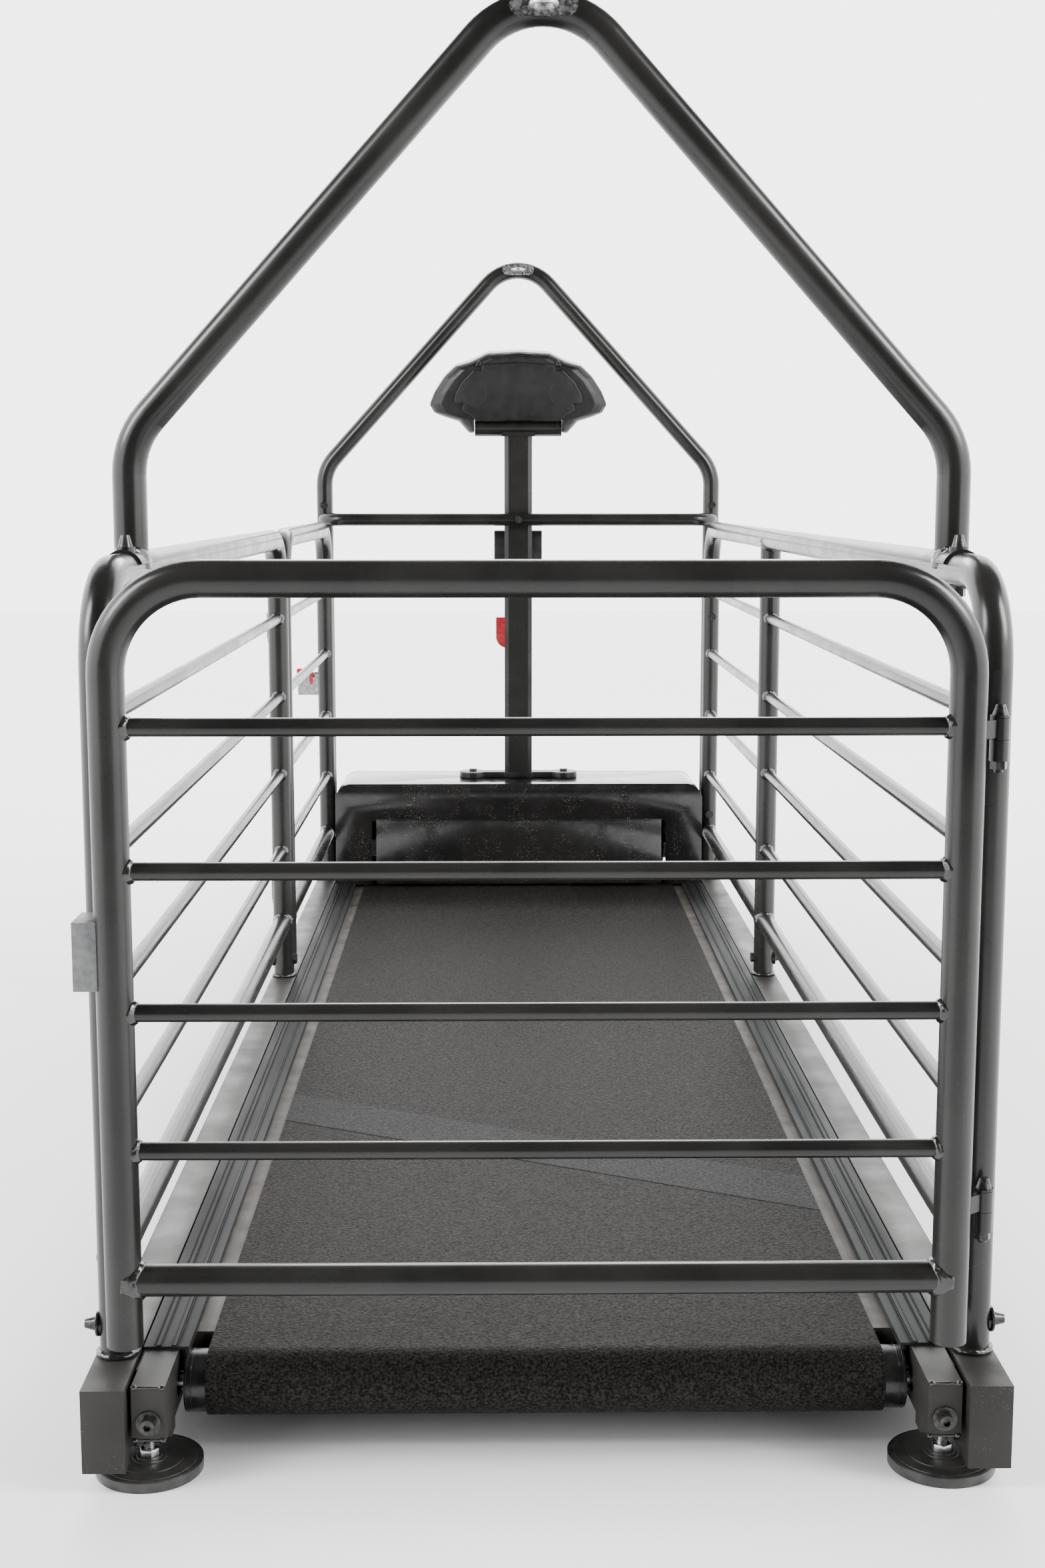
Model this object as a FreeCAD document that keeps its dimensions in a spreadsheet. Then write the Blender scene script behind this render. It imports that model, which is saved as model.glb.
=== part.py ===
import FreeCAD, Part
import math
import os

import Sketcher

# A dog treadmill with a railed cage. X runs across the belt, Y runs along it
# from the open gate end (low Y) to the motor end (high Y), and Z is up.
# The origin is on the floor at the middle of the footprint. Millimetres.

Vector = FreeCAD.Vector
Rotation = FreeCAD.Rotation
Placement = FreeCAD.Placement

doc = FreeCAD.newDocument("dog_treadmill")
sheet = doc.addObject("Spreadsheet::Sheet", "sizes")


class Size:
    """A length that carries its spreadsheet formula and its present value."""

    def __init__(self, formula, value):
        self.formula = formula
        self.value = value

    def __float__(self):
        return self.value

    def __add__(self, other):
        return Size(f"({self.formula} + {formula_of(other)})", self.value + float(other))

    def __sub__(self, other):
        return Size(f"({self.formula} - {formula_of(other)})", self.value - float(other))

    def __mul__(self, other):
        return Size(f"({self.formula} * {formula_of(other)})", self.value * float(other))

    def __truediv__(self, other):
        return Size(f"({self.formula} / {formula_of(other)})", self.value / float(other))

    def __neg__(self):
        return Size(f"(0 - {self.formula})", -self.value)

    def __radd__(self, other):
        return Size(f"({formula_of(other)} + {self.formula})", float(other) + self.value)

    def __rsub__(self, other):
        return Size(f"({formula_of(other)} - {self.formula})", float(other) - self.value)

    __rmul__ = __mul__


def formula_of(length):
    return length.formula if isinstance(length, Size) else repr(float(length))


def cosine(angle):
    return Size(f"cos({formula_of(angle)})", math.cos(math.radians(float(angle))))


def sine(angle):
    return Size(f"sin({formula_of(angle)})", math.sin(math.radians(float(angle))))


def tangent(angle):
    return Size(f"tan({formula_of(angle)})", math.tan(math.radians(float(angle))))


sheet_rows = []


def size(alias, number, meaning):
    """Puts one driving dimension in the sheet and returns it."""
    row = len(sheet_rows) + 1
    sheet_rows.append(alias)
    sheet.set(f"A{row}", meaning)
    sheet.set(f"B{row}", str(number))
    sheet.setAlias(f"B{row}", alias)
    sheet.recompute()
    return Size(f"sizes.{alias}", float(sheet.get(alias)))


# The long steel base
frame_length = size("frame_length", 2570, "side channels, end to end")
post_line = size("post_line", 387, "middle line of posts and channels from the centre")
channel_width = size("channel_width", 38, "side channel across")
channel_height = size("channel_height", 76, "side channel high")
channel_wall = size("channel_wall", 2.5, "side channel sheet")
channel_clearance = size("channel_clearance", 20, "floor to side channel")
rail_width = size("rail_width", 30, "inner rail across")
rail_height = size("rail_height", 50, "inner rail high")
rail_wall = size("rail_wall", 2.5, "inner rail sheet")
rail_gap = size("rail_gap", 4, "spacer between channel and rail")
rail_drop = size("rail_drop", 2, "rail top below channel top")
rail_setback = size("rail_setback", 12, "rail end behind channel end")
end_plate = size("end_plate", 4, "plate that closes a rail end")
spacer_length = size("spacer_length", 60, "weld spacer along the rail")
spacer_inset = size("spacer_inset", 6, "weld spacer edge from rail edge")
cross_width = size("cross_width", 40, "cross member along the frame")
cross_height = size("cross_height", 20, "cross member high")
cross_wall = size("cross_wall", 2.5, "cross member sheet")
cross_count = 6
bridge_half = size("bridge_half", 18, "mast bridge half length along the frame")
rail_bridge = size("rail_bridge", 360, "mast bridge outer side from the middle")
bridge_leg = size("bridge_leg", 24, "mast bridge leg across")
bridge_beam_height = size("bridge_beam_height", 20, "mast bridge beam high")

# Running deck, rollers and belt
belt_width = size("belt_width", 616, "running belt across")
belt_thickness = size("belt_thickness", 2.5, "running belt thick")
belt_play = size("belt_play", 0.3, "belt off its rollers and deck")
roller_diameter = size("roller_diameter", 56, "roller shell")
roller_wall = size("roller_wall", 3, "roller shell wall")
roller_overhang = size("roller_overhang", 20, "roller beyond the belt, each end")
roller_cap = size("roller_cap", 16, "end plug in the roller shell")
roller_axis_height = size("roller_axis_height", 61, "roller axis above the floor")
rear_axle_setback = size("rear_axle_setback", 98, "rear axle from the gate end")
front_axle_setback = size("front_axle_setback", 245, "front axle from the motor end")
axle_diameter = size("axle_diameter", 17, "roller axle")
axle_reach = size("axle_reach", 21, "axle end inside the rail")
axle_play = size("axle_play", 0.4, "axle slot clearance")
slot_travel = size("slot_travel", 14, "belt tension travel each way")
bearing_diameter = size("bearing_diameter", 35, "bearing outside")
bearing_width = size("bearing_width", 11, "bearing wide")
bearing_fit = size("bearing_fit", 0.05, "running fit, radial")
deck_thickness = size("deck_thickness", 18, "deck board")
deck_side_gap = size("deck_side_gap", 4, "deck edge to inner rail")
deck_roller_gap = size("deck_roller_gap", 14, "deck end to roller shell")
cushion_height = size("cushion_height", 9, "rubber deck cushion")
cushion_size = size("cushion_size", 30, "rubber cushion side")
tread_inner = size("tread_inner", 325, "foot rail inner edge from the centre")
tread_outer = size("tread_outer", 366, "foot rail outer edge from the centre")
tread_thickness = size("tread_thickness", 2.5, "foot rail plate")
tread_rib = size("tread_rib", 1.4, "foot rail rib height")
tread_start = size("tread_start", 90, "foot rail from the gate end")
tread_lip = size("tread_lip", 3, "foot rail inner lip")
tread_rib_width = size("tread_rib_width", 4, "foot rail rib across")
tension_bolt = size("tension_bolt", 8, "belt tension bolt")
tension_head = size("tension_head", 13, "tension bolt head")
tension_washer = size("tension_washer", 22, "tension bolt washer")
tension_socket = size("tension_socket", 6, "tension bolt socket flats")
washer_thickness = size("washer_thickness", 2, "every washer")

# Levelling feet
foot_line = size("foot_line", 356, "foot centre from the middle")
foot_setback = size("foot_setback", 50, "foot centre from the frame end")
foot_diameter = size("foot_diameter", 96, "foot disc")
foot_height = size("foot_height", 13, "foot disc high")
foot_bevel = size("foot_bevel", 4, "foot disc top bevel")
foot_stem = size("foot_stem", 10, "foot stud")
foot_stem_length = size("foot_stem_length", 42, "foot stud above the disc")
foot_nut = size("foot_nut", 16, "foot stud flats")
foot_nut_height = size("foot_nut_height", 7, "foot stud flats high")
foot_boss = size("foot_boss", 20, "threaded block side")
foot_boss_height = size("foot_boss_height", 10, "threaded block high")
foot_fit = size("foot_fit", 0.3, "foot stud clearance")

# Cage tubes
tube = size("tube", 32, "main tube outside")
tube_wall = size("tube_wall", 2, "main tube wall")
rung_tube = size("rung_tube", 16, "rung outside")
low_tube = size("low_tube", 28, "lowest cage tube outside")
rung_wall = size("rung_wall", 1.5, "rung and low tube wall")
bend = size("bend", 80, "centre line radius of tube bends")
cage_rail_height = size("cage_rail_height", 795, "top rail centre above the floor")
rung_top = size("rung_top", 671, "highest rung centre above the floor")
rung_pitch = size("rung_pitch", 123, "rung to rung")
low_tube_height = size("low_tube_height", 185, "lowest tube centre above the floor")
rung_count = 4
near_post = size("near_post", 79, "near posts from the gate end")
middle_post = size("middle_post", 1500, "middle posts from the gate end")
door_gap = size("door_gap", 44, "middle post to door leg")
far_leg_setback = size("far_leg_setback", 213, "far panel legs from the motor end")
hoop_leg_gap = size("hoop_leg_gap", 33, "far hoop leg behind the panel leg")
near_hoop_place = size("near_hoop_place", 256, "near hoop from the gate end")
door_leg_foot = size("door_leg_foot", 106, "door leg end above the floor")
stub_clearance = size("stub_clearance", 0.2, "post on its stub, radial")
stub_height = size("stub_height", 60, "stub inside a post")
stub_collar = size("stub_collar", 4, "weld collar under a post")
collar_margin = size("collar_margin", 1.5, "collar beyond the post, radial")

# Gate
gate_plane = size("gate_plane", 29, "gate middle from the gate end")
gate_shift = size("gate_shift", 8.5, "gate set over towards its catch")
gate_half = size("gate_half", 362, "gate post from the gate middle")
gate_foot = size("gate_foot", 126, "gate post end above the floor")

# Hinges
barrel = size("barrel", 17, "hinge barrel outside")
barrel_height = size("barrel_height", 18.5, "hinge barrel high")
barrel_split = size("barrel_split", 0.4, "between the two barrels")
barrel_post_gap = size("barrel_post_gap", 0.8, "barrel to post")
pin = size("pin", 8, "hinge bolt")
pin_fit = size("pin_fit", 0.1, "hinge bolt running fit, radial")
hinge_high = size("hinge_high", 657, "upper hinge split above the floor")
hinge_low = size("hinge_low", 236, "lower hinge split above the floor")
hinge_tab = size("hinge_tab", 6, "tab that joins a barrel")
hinge_out = size("hinge_out", 12, "door hinge bolt outside the post line")

# Fasteners
nut_flats = size("nut_flats", 13, "hexagon nut across flats")
nut_height = size("nut_height", 7, "hexagon nut high")
cap_height = size("cap_height", 11, "tapered cap nut high")
cap_top = size("cap_top", 8, "tapered cap nut top")
cap_base = size("cap_base", 14, "tapered cap nut base")
post_bolt_height = size("post_bolt_height", 124, "post bolts above the floor")
panel_bolt_high = size("panel_bolt_high", 622, "upper panel bolt above the floor")
panel_bolt_low = size("panel_bolt_low", 222, "lower panel bolt above the floor")
hoop_bolt_height = size("hoop_bolt_height", 843, "hoop bolts above the floor")
button_head = size("button_head", 15, "button head across")
button_height = size("button_height", 5, "button head high")
nut_flange = size("nut_flange", 18, "nut flange and washer across")
saddle_thread = size("saddle_thread", 25, "saddle bolt end below its nut")
hinge_thread = size("hinge_thread", 3, "hinge bolt end below its nut")
cap_bore = size("cap_bore", 8, "bolt inside a cap nut")

# Leash hoops
hoop_vertex = size("hoop_vertex", 1340, "where the hoop slopes would meet")
hoop_slope = size("hoop_slope", 47.8, "hoop slope in degrees")
saddle_thickness = size("saddle_thickness", 3, "saddle plate")
saddle_length = size("saddle_length", 92, "saddle plate along the rail")
saddle_half_angle = size("saddle_half_angle", 72, "saddle plate half wrap in degrees")
saddle_bolt_offset = size("saddle_bolt_offset", 30, "saddle bolt from the hoop leg")
eye_plate_length = size("eye_plate_length", 62, "leash eye plate long")
eye_plate_height = size("eye_plate_height", 20, "leash eye plate high")
eye_plate_thickness = size("eye_plate_thickness", 3, "leash eye plate thick")
eye_plate_seat = size("eye_plate_seat", 12, "leash eye plate back face from the tube middle")
eye_ring_radius = size("eye_ring_radius", 11, "leash eye centre line radius")
eye_wire = size("eye_wire", 5, "leash eye wire")

# Motor end
hood_setback = size("hood_setback", 309, "hood near face from the motor end")
hood_end_gap = size("hood_end_gap", 14, "hood far face to the channel end")
hood_half = size("hood_half", 364, "hood half width")
hood_top = size("hood_top", 295, "hood top above the floor")
hood_wall = size("hood_wall", 3, "hood shell")
hood_shoulder = size("hood_shoulder", 30, "hood shoulder radius")
hood_edge = size("hood_edge", 12, "hood near top chamfer")
hood_flat = size("hood_flat", 190, "hood flat top along the frame")
hood_fall = size("hood_fall", 52, "hood far slope in degrees")
hood_mouth_half = size("hood_mouth_half", 292, "belt mouth half width")
hood_mouth_height = size("hood_mouth_height", 222, "belt mouth top above the floor")
guard_half = size("guard_half", 283, "guard plate half width")
guard_top = size("guard_top", 226, "guard plate top above the floor")
guard_gap = size("guard_gap", 8, "guard plate above the belt")
guard_lean = size("guard_lean", 16, "guard plate bottom ahead of its top")
guard_thickness = size("guard_thickness", 2, "guard plate")
guard_seat = size("guard_seat", 4, "guard plate strip against the hood")

# Drive
motor_diameter = size("motor_diameter", 100, "motor case")
motor_length = size("motor_length", 180, "motor case long")
motor_centre = size("motor_centre", 185, "motor centre from the middle")
motor_setback = size("motor_setback", 118, "motor axis from the motor end")
motor_height = size("motor_height", 150, "motor axis above the floor")
mount_half = size("mount_half", 70, "motor mount half length")
mount_reach = size("mount_reach", 35, "motor mount each way along the frame")
mount_height = size("mount_height", 118, "motor mount top above the floor")
flywheel_diameter = size("flywheel_diameter", 110, "flywheel")
flywheel_width = size("flywheel_width", 18, "flywheel wide")
flywheel_place = size("flywheel_place", 282, "flywheel from the middle")
pulley_place = size("pulley_place", 312, "drive pulleys from the middle")
drive_pulley = size("drive_pulley", 32, "motor pulley outside")
roller_pulley_diameter = size("roller_pulley_diameter", 80, "roller pulley outside")
pulley_width = size("pulley_width", 14, "drive pulleys wide")
drive_belt_thickness = size("drive_belt_thickness", 3, "ribbed drive belt")
drive_belt_width = size("drive_belt_width", 12, "ribbed drive belt wide")
shaft_diameter = size("shaft_diameter", 14, "motor shaft")
controller_length = size("controller_length", 150, "motor controller across")
controller_depth = size("controller_depth", 110, "motor controller along")
controller_height = size("controller_height", 45, "motor controller high")
controller_margin = size("controller_margin", 20, "motor controller off the inner rail")
inlet_width = size("inlet_width", 48, "mains inlet across")
inlet_height = size("inlet_height", 28, "mains inlet high")
inlet_place = size("inlet_place", 250, "mains inlet from the middle")
inlet_depth = size("inlet_depth", 26, "mains inlet deep")
inlet_rim = size("inlet_rim", 4, "mains inlet flange beyond its body")
inlet_flange = size("inlet_flange", 2, "mains inlet flange thick")
socket_width = size("socket_width", 24, "mains socket across")
socket_height = size("socket_height", 17, "mains socket high")
socket_depth = size("socket_depth", 17, "mains socket deep")
socket_pin = size("socket_pin", 4, "mains pin")
socket_pitch = size("socket_pitch", 7, "mains pins apart")
rear_panel_height = size("rear_panel_height", 136, "inlet and switch above the floor")

# Mast
mast_width = size("mast_width", 55, "mast across")
mast_depth = size("mast_depth", 34, "mast along the frame")
mast_wall = size("mast_wall", 2, "mast wall")
mast_corner = size("mast_corner", 8, "mast corner chamfer")
mast_setback = size("mast_setback", 196, "mast from the motor end")
mast_top = size("mast_top", 978, "mast end above the floor")
base_lobe = size("base_lobe", 54, "mast foot lobe")
base_height = size("base_height", 12, "mast foot high")
base_bar = size("base_bar", 30, "mast foot bar along the frame")
base_bolt_line = size("base_bolt_line", 92, "mast foot bolts from the middle")
bow_tube = size("bow_tube", 25, "handle bow outside")
bow_height = size("bow_height", 815, "handle bow above the floor")
bow_bend = size("bow_bend", 40, "handle bow bend radius")
bow_wall = size("bow_wall", 2, "handle bow wall")
cradle_width = size("cradle_width", 96, "remote cradle across")
cradle_height = size("cradle_height", 100, "remote cradle high")
cradle_depth = size("cradle_depth", 34, "remote cradle deep")
cradle_wall = size("cradle_wall", 3, "remote cradle wall")
cradle_floor = size("cradle_floor", 692, "remote cradle bottom above the floor")
stop_height = size("stop_height", 62, "stop paddle high")
stop_width = size("stop_width", 46, "stop paddle across")
stop_thickness = size("stop_thickness", 9, "stop paddle thick")
stop_floor = size("stop_floor", 556, "stop paddle bottom above the floor")
stop_travel = size("stop_travel", 4, "stop paddle travel")
stop_stem = size("stop_stem", 10, "stop paddle stem")
stop_centre = size("stop_centre", 22, "stop paddle centre left of the middle")
stop_stem_place = size("stop_stem_place", 10, "stop stem left of the middle")
stop_rim = size("stop_rim", 3, "stop stem retaining rim, radial")
stop_rim_thickness = size("stop_rim_thickness", 2, "stop stem retaining rim thick")
button_fit = size("button_fit", 0.3, "button clearance all round")

# Console
console_axis = size("console_axis", 996, "console hinge above the floor")
console_barrel = size("console_barrel", 36, "console hinge barrel")
console_barrel_half = size("console_barrel_half", 86, "console barrel half length")
console_pin = size("console_pin", 12, "console hinge pin")
console_half = size("console_half", 175, "console half width")
console_rise = size("console_rise", 147, "console top above its hinge")
console_drop = size("console_drop", 10.5, "console ears below the hinge")
console_back = size("console_back", 28, "console back face from the hinge")
console_front = size("console_front", 18, "console shell front from the hinge")
console_clear = size("console_clear", 2.5, "console shell off the hinge barrel")
console_pin_length = size("console_pin_length", 16, "console pin in the barrel")
neck_flange = size("neck_flange", 8, "hinge neck flange thick")
neck_half = size("neck_half", 33, "hinge neck flange half width")
neck_depth = size("neck_depth", 20, "hinge neck flange half depth")
neck_plug = size("neck_plug", 28, "hinge neck plug in the mast")
neck_plug_length = size("neck_plug_length", 30, "hinge neck plug long")
speaker_diameter = size("speaker_diameter", 44, "speaker grille")
speaker_place = size("speaker_place", 85, "speaker centre from the middle")
speaker_height = size("speaker_height", 66, "speaker centre above the hinge")
console_shell = size("console_shell", 3, "console shell")
console_tilt = size("console_tilt", 12, "console lean back in degrees")
panel_thickness = size("panel_thickness", 5, "console face panel")
display_width = size("display_width", 130, "display window across")
display_height = size("display_height", 42, "display window high")
display_centre = size("display_centre", 96, "display above the console hinge")
button_diameter = size("button_diameter", 20, "console button")
button_line = size("button_line", 58, "console buttons above the hinge")
button_spacing = size("button_spacing", 62, "console buttons apart")
button_proud = size("button_proud", 3, "console button above its panel")
button_rim = size("button_rim", 2.5, "button retaining rim, radial")
button_rim_thickness = size("button_rim_thickness", 3, "button retaining rim thick")
key_width = size("key_width", 22, "safety key across")
key_height = size("key_height", 12, "safety key high")
key_line = size("key_line", 34, "safety key above the hinge")
key_depth = size("key_depth", 14, "safety key in its slot")
key_grip = size("key_grip", 16, "safety key grip")

# Catch on the gate and clamp on the door
catch_height = size("catch_height", 60, "gate catch high")
catch_wall = size("catch_wall", 2, "gate catch sheet")
catch_centre = size("catch_centre", 476, "gate catch above the floor")
catch_gap = size("catch_gap", 0.4, "gate catch off the side post")
catch_outer = size("catch_outer", 404, "gate catch outer face from the middle")
catch_near = size("catch_near", 10, "gate catch near face before the gate middle")
catch_inner = size("catch_inner", 380, "gate catch inner edge from the middle")
magnet_height = size("magnet_height", 30, "gate magnet high")
magnet_thickness = size("magnet_thickness", 8, "gate magnet thick")
clamp_height = size("clamp_height", 484, "door clamp above the floor")
clamp_plate = size("clamp_plate", 3, "door clamp plate")
clamp_plate_height = size("clamp_plate_height", 46, "door clamp plate high")
clamp_reach = size("clamp_reach", 44, "door clamp plate beyond the post")
clamp_plate_back = size("clamp_plate_back", 5, "clamp plate far face behind the post middle")
clamp_lug = size("clamp_lug", 4, "clamp lug across")
clamp_lug_out = size("clamp_lug_out", 24.5, "clamp lug from the post middle")
clamp_lug_height = size("clamp_lug_height", 28, "clamp lug high")
clamp_pivot = size("clamp_pivot", 6, "clamp pivots before the post middle")
clamp_pin = size("clamp_pin", 5, "clamp pivot pin")
clamp_pin_head = size("clamp_pin_head", 9, "clamp pin head")
clamp_pin_head_height = size("clamp_pin_head_height", 1.2, "clamp pin head thick")
clamp_lever = size("clamp_lever", 6, "clamp arm and handle thick")
clamp_eye = size("clamp_eye", 12, "clamp arm and handle across")
clamp_play = size("clamp_play", 0.4, "clamp lever off its lug and pin head")
clamp_arm_drop = size("clamp_arm_drop", 8, "clamp arm pivot below the plate middle")
clamp_arm_length = size("clamp_arm_length", 34, "clamp arm from its pivot")
clamp_handle_rise = size("clamp_handle_rise", 6, "clamp handle pivot above the plate middle")
clamp_handle_length = size("clamp_handle_length", 20, "clamp handle from its pivot")
clamp_grip_reach = size("clamp_grip_reach", 26, "clamp grip beyond its lever")

# Places worked out from the sizes
near_end = -(frame_length / 2)
far_end = frame_length / 2
channel_top = channel_clearance + channel_height
rail_outer = post_line - channel_width / 2 - rail_gap
rail_inner = rail_outer - rail_width
rail_middle = rail_outer - rail_width / 2
rail_top = channel_top - rail_drop
rail_bottom = rail_top - rail_height
post_foot = channel_top + stub_collar
roller_radius = roller_diameter / 2
belt_inside = roller_radius + belt_play
belt_outside = belt_inside + belt_thickness
deck_top = roller_axis_height + roller_radius
deck_bottom = deck_top - deck_thickness
cross_top = deck_bottom - cushion_height
roller_half = belt_width / 2 + roller_overhang
rear_axle_y = near_end + rear_axle_setback
front_axle_y = far_end - front_axle_setback
gate_y = near_end + gate_plane
near_post_y = near_end + near_post
middle_post_y = near_end + middle_post
door_leg_y = middle_post_y + door_gap
far_leg_y = far_end - far_leg_setback
far_hoop_y = far_leg_y + hoop_leg_gap
near_hoop_y = near_end + near_hoop_place
hood_y = far_end - hood_setback
hood_end_y = far_end - hood_end_gap
mast_y = far_end - mast_setback
motor_y = far_end - motor_setback
mast_back_y = mast_y + mast_depth / 2
base_top = hood_top + base_height
tube_radius = tube / 2
barrel_radius = barrel / 2
gate_pin_x = post_line
gate_pin_y = near_post_y - tube_radius - barrel_radius - barrel_post_gap
door_pin_y = middle_post_y + door_gap / 2
pin_hole = pin + 2 * pin_fit

ALONG = {
    "X": Rotation(Vector(0, 1, 0), 90),
    "Y": Rotation(Vector(1, 0, 0), -90),
    "Z": Rotation(),
}


def set_length(item, name, length):
    item.setExpression(name, formula_of(length))


def put(item, x, y, z, rotation=None):
    """Places an object, each coordinate bound to the sheet."""
    item.Placement = Placement(Vector(), rotation or Rotation())
    for axis, length in zip("xyz", (x, y, z)):
        item.setExpression(f"Placement.Base.{axis}", formula_of(length))
    return item


def block(x, y, z):
    """A box between the two ends given for each axis."""
    item = doc.addObject("Part::Box", "block")
    for name, (low, high) in zip(("Length", "Width", "Height"), (x, y, z)):
        set_length(item, name, high - low)
    return put(item, x[0], y[0], z[0])


def lie_along(item, axis, start, across, turn=None):
    """Lays a shape that stands on its own Z along an axis of the frame."""
    first, second = across
    places = {"X": (start, first, second), "Y": (first, start, second), "Z": (first, second, start)}
    rotation = ALONG[axis] * turn if turn else ALONG[axis]
    return put(item, *places[axis], rotation)


def rod(axis, diameter, start, end, across):
    """A round bar along an axis; across gives the other two coordinates."""
    item = doc.addObject("Part::Cylinder", "rod")
    set_length(item, "Radius", diameter / 2)
    set_length(item, "Height", end - start)
    return lie_along(item, axis, start, across)


def taper(axis, start_diameter, end_diameter, start, height, across, turn=None):
    item = doc.addObject("Part::Cone", "taper")
    set_length(item, "Radius1", start_diameter / 2)
    set_length(item, "Radius2", end_diameter / 2)
    set_length(item, "Height", height)
    return lie_along(item, axis, start, across, turn)


def hexagon(axis, flats, start, height, across):
    item = doc.addObject("Part::Prism", "hexagon")
    item.Polygon = 6
    set_length(item, "Circumradius", flats / (2 * cosine(30)))
    set_length(item, "Height", height)
    return lie_along(item, axis, start, across)


def join(*items):
    if len(items) == 1:
        return items[0]
    item = doc.addObject("Part::MultiFuse", "join")
    item.Shapes = list(items)
    return item


def cut(base, *tools):
    item = doc.addObject("Part::Cut", "cut")
    item.Base = base
    item.Tool = join(*tools)
    return item


def overlap(first, second):
    item = doc.addObject("Part::MultiCommon", "overlap")
    item.Shapes = [first, second]
    return item


def group(*items):
    """Separate solids that share one node."""
    item = doc.addObject("Part::Compound", "group")
    item.Links = list(items)
    return item


nodes = {}


def node(name, item):
    """Names a finished sub-part."""
    item.Label = name
    nodes[name] = item
    return item


def origin_plane(body, role):
    return next(f for f in body.Origin.OriginFeatures if f.Role == role)


def sketch_on(body, role, name):
    sketch = body.newObject("Sketcher::SketchObject", name)
    sketch.AttachmentSupport = [(origin_plane(body, role), "")]
    sketch.MapMode = "FlatFace"
    return sketch


def fix(sketch, kind, *where, length=None):
    """Adds a constraint, and binds it to the sheet when it has a length."""
    if length is None:
        return sketch.addConstraint(Sketcher.Constraint(kind, *where))
    first = math.radians(float(length)) if kind == "Angle" else float(length)
    index = sketch.addConstraint(Sketcher.Constraint(kind, *where, first))
    sketch.setExpression(f"Constraints[{index}]", formula_of(length))
    return index


def at(x, y):
    return Vector(float(x), float(y), 0)


def straight(sketch, start, end):
    return sketch.addGeometry(Part.LineSegment(at(*start), at(*end)), False)


def quarter(sketch, centre, radius, first, last):
    """An arc from one angle to another, anticlockwise, in degrees."""
    circle = Part.Circle(at(*centre), Vector(0, 0, 1), float(radius))
    first, last = math.radians(float(first)), math.radians(float(last))
    return sketch.addGeometry(Part.ArcOfCircle(circle, first, last), False)


def outline(sketch, corners):
    """A closed outline with every corner dimensioned from the sketch origin."""
    count = len(corners)
    for index, corner in enumerate(corners):
        straight(sketch, corner, corners[(index + 1) % count])
    for index in range(count):
        fix(sketch, "Coincident", index, 2, (index + 1) % count, 1)
    for index, (x, y) in enumerate(corners):
        for kind, length, axis in (("DistanceX", x, -2), ("DistanceY", y, -1)):
            if float(length) == 0:
                fix(sketch, "PointOnObject", index, 1, axis)
            else:
                fix(sketch, kind, -1, 1, index, 1, length=length)
    return sketch


def sweep(body, path, half_span, outside, wall):
    """Sweeps the round tube wall along a path that starts at -half_span."""
    profile = sketch_on(body, "XY_Plane", "tube_section")
    for radius in (outside / 2, outside / 2 - wall):
        ring = Part.Circle(at(-half_span, 0), Vector(0, 0, 1), float(radius))
        index = profile.addGeometry(ring, False)
        fix(profile, "PointOnObject", index, 3, -1)
        fix(profile, "DistanceX", index, 3, -1, 1, length=half_span)
        fix(profile, "Radius", index, length=radius)
    pipe = body.newObject("PartDesign::AdditivePipe", "tube_run")
    pipe.Profile = profile
    pipe.Spine = (path, [f"Edge{index + 1}" for index in range(path.GeometryCount)])
    body.Tip = pipe
    return body


def bent_frame(half_span, height, radius, outside, wall):
    """A tube bent to an upside-down U that stands on the body's own origin."""
    body = doc.addObject("PartDesign::Body", "bent_frame")
    path = sketch_on(body, "XZ_Plane", "path")
    shoulder = height - radius
    left = straight(path, (-half_span, 0), (-half_span, shoulder))
    first = quarter(path, (radius - half_span, shoulder), radius, 90, 180)
    top = straight(path, (radius - half_span, height), (half_span - radius, height))
    second = quarter(path, (half_span - radius, shoulder), radius, 0, 90)
    right = straight(path, (half_span, shoulder), (half_span, 0))
    for joint in ((left, 2, first, 2), (first, 1, top, 1), (top, 2, second, 2), (second, 1, right, 1)):
        fix(path, "Tangent", *joint)
    fix(path, "Vertical", left)
    fix(path, "Horizontal", top)
    fix(path, "Vertical", right)
    fix(path, "PointOnObject", left, 1, -1)
    fix(path, "Symmetric", left, 1, right, 2, -2)
    fix(path, "Equal", first, second)
    fix(path, "Radius", first, length=radius)
    fix(path, "DistanceX", left, 1, right, 2, length=2 * half_span)
    fix(path, "DistanceY", left, 1, top, 1, length=height)
    return sweep(body, path, half_span, outside, wall)


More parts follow.
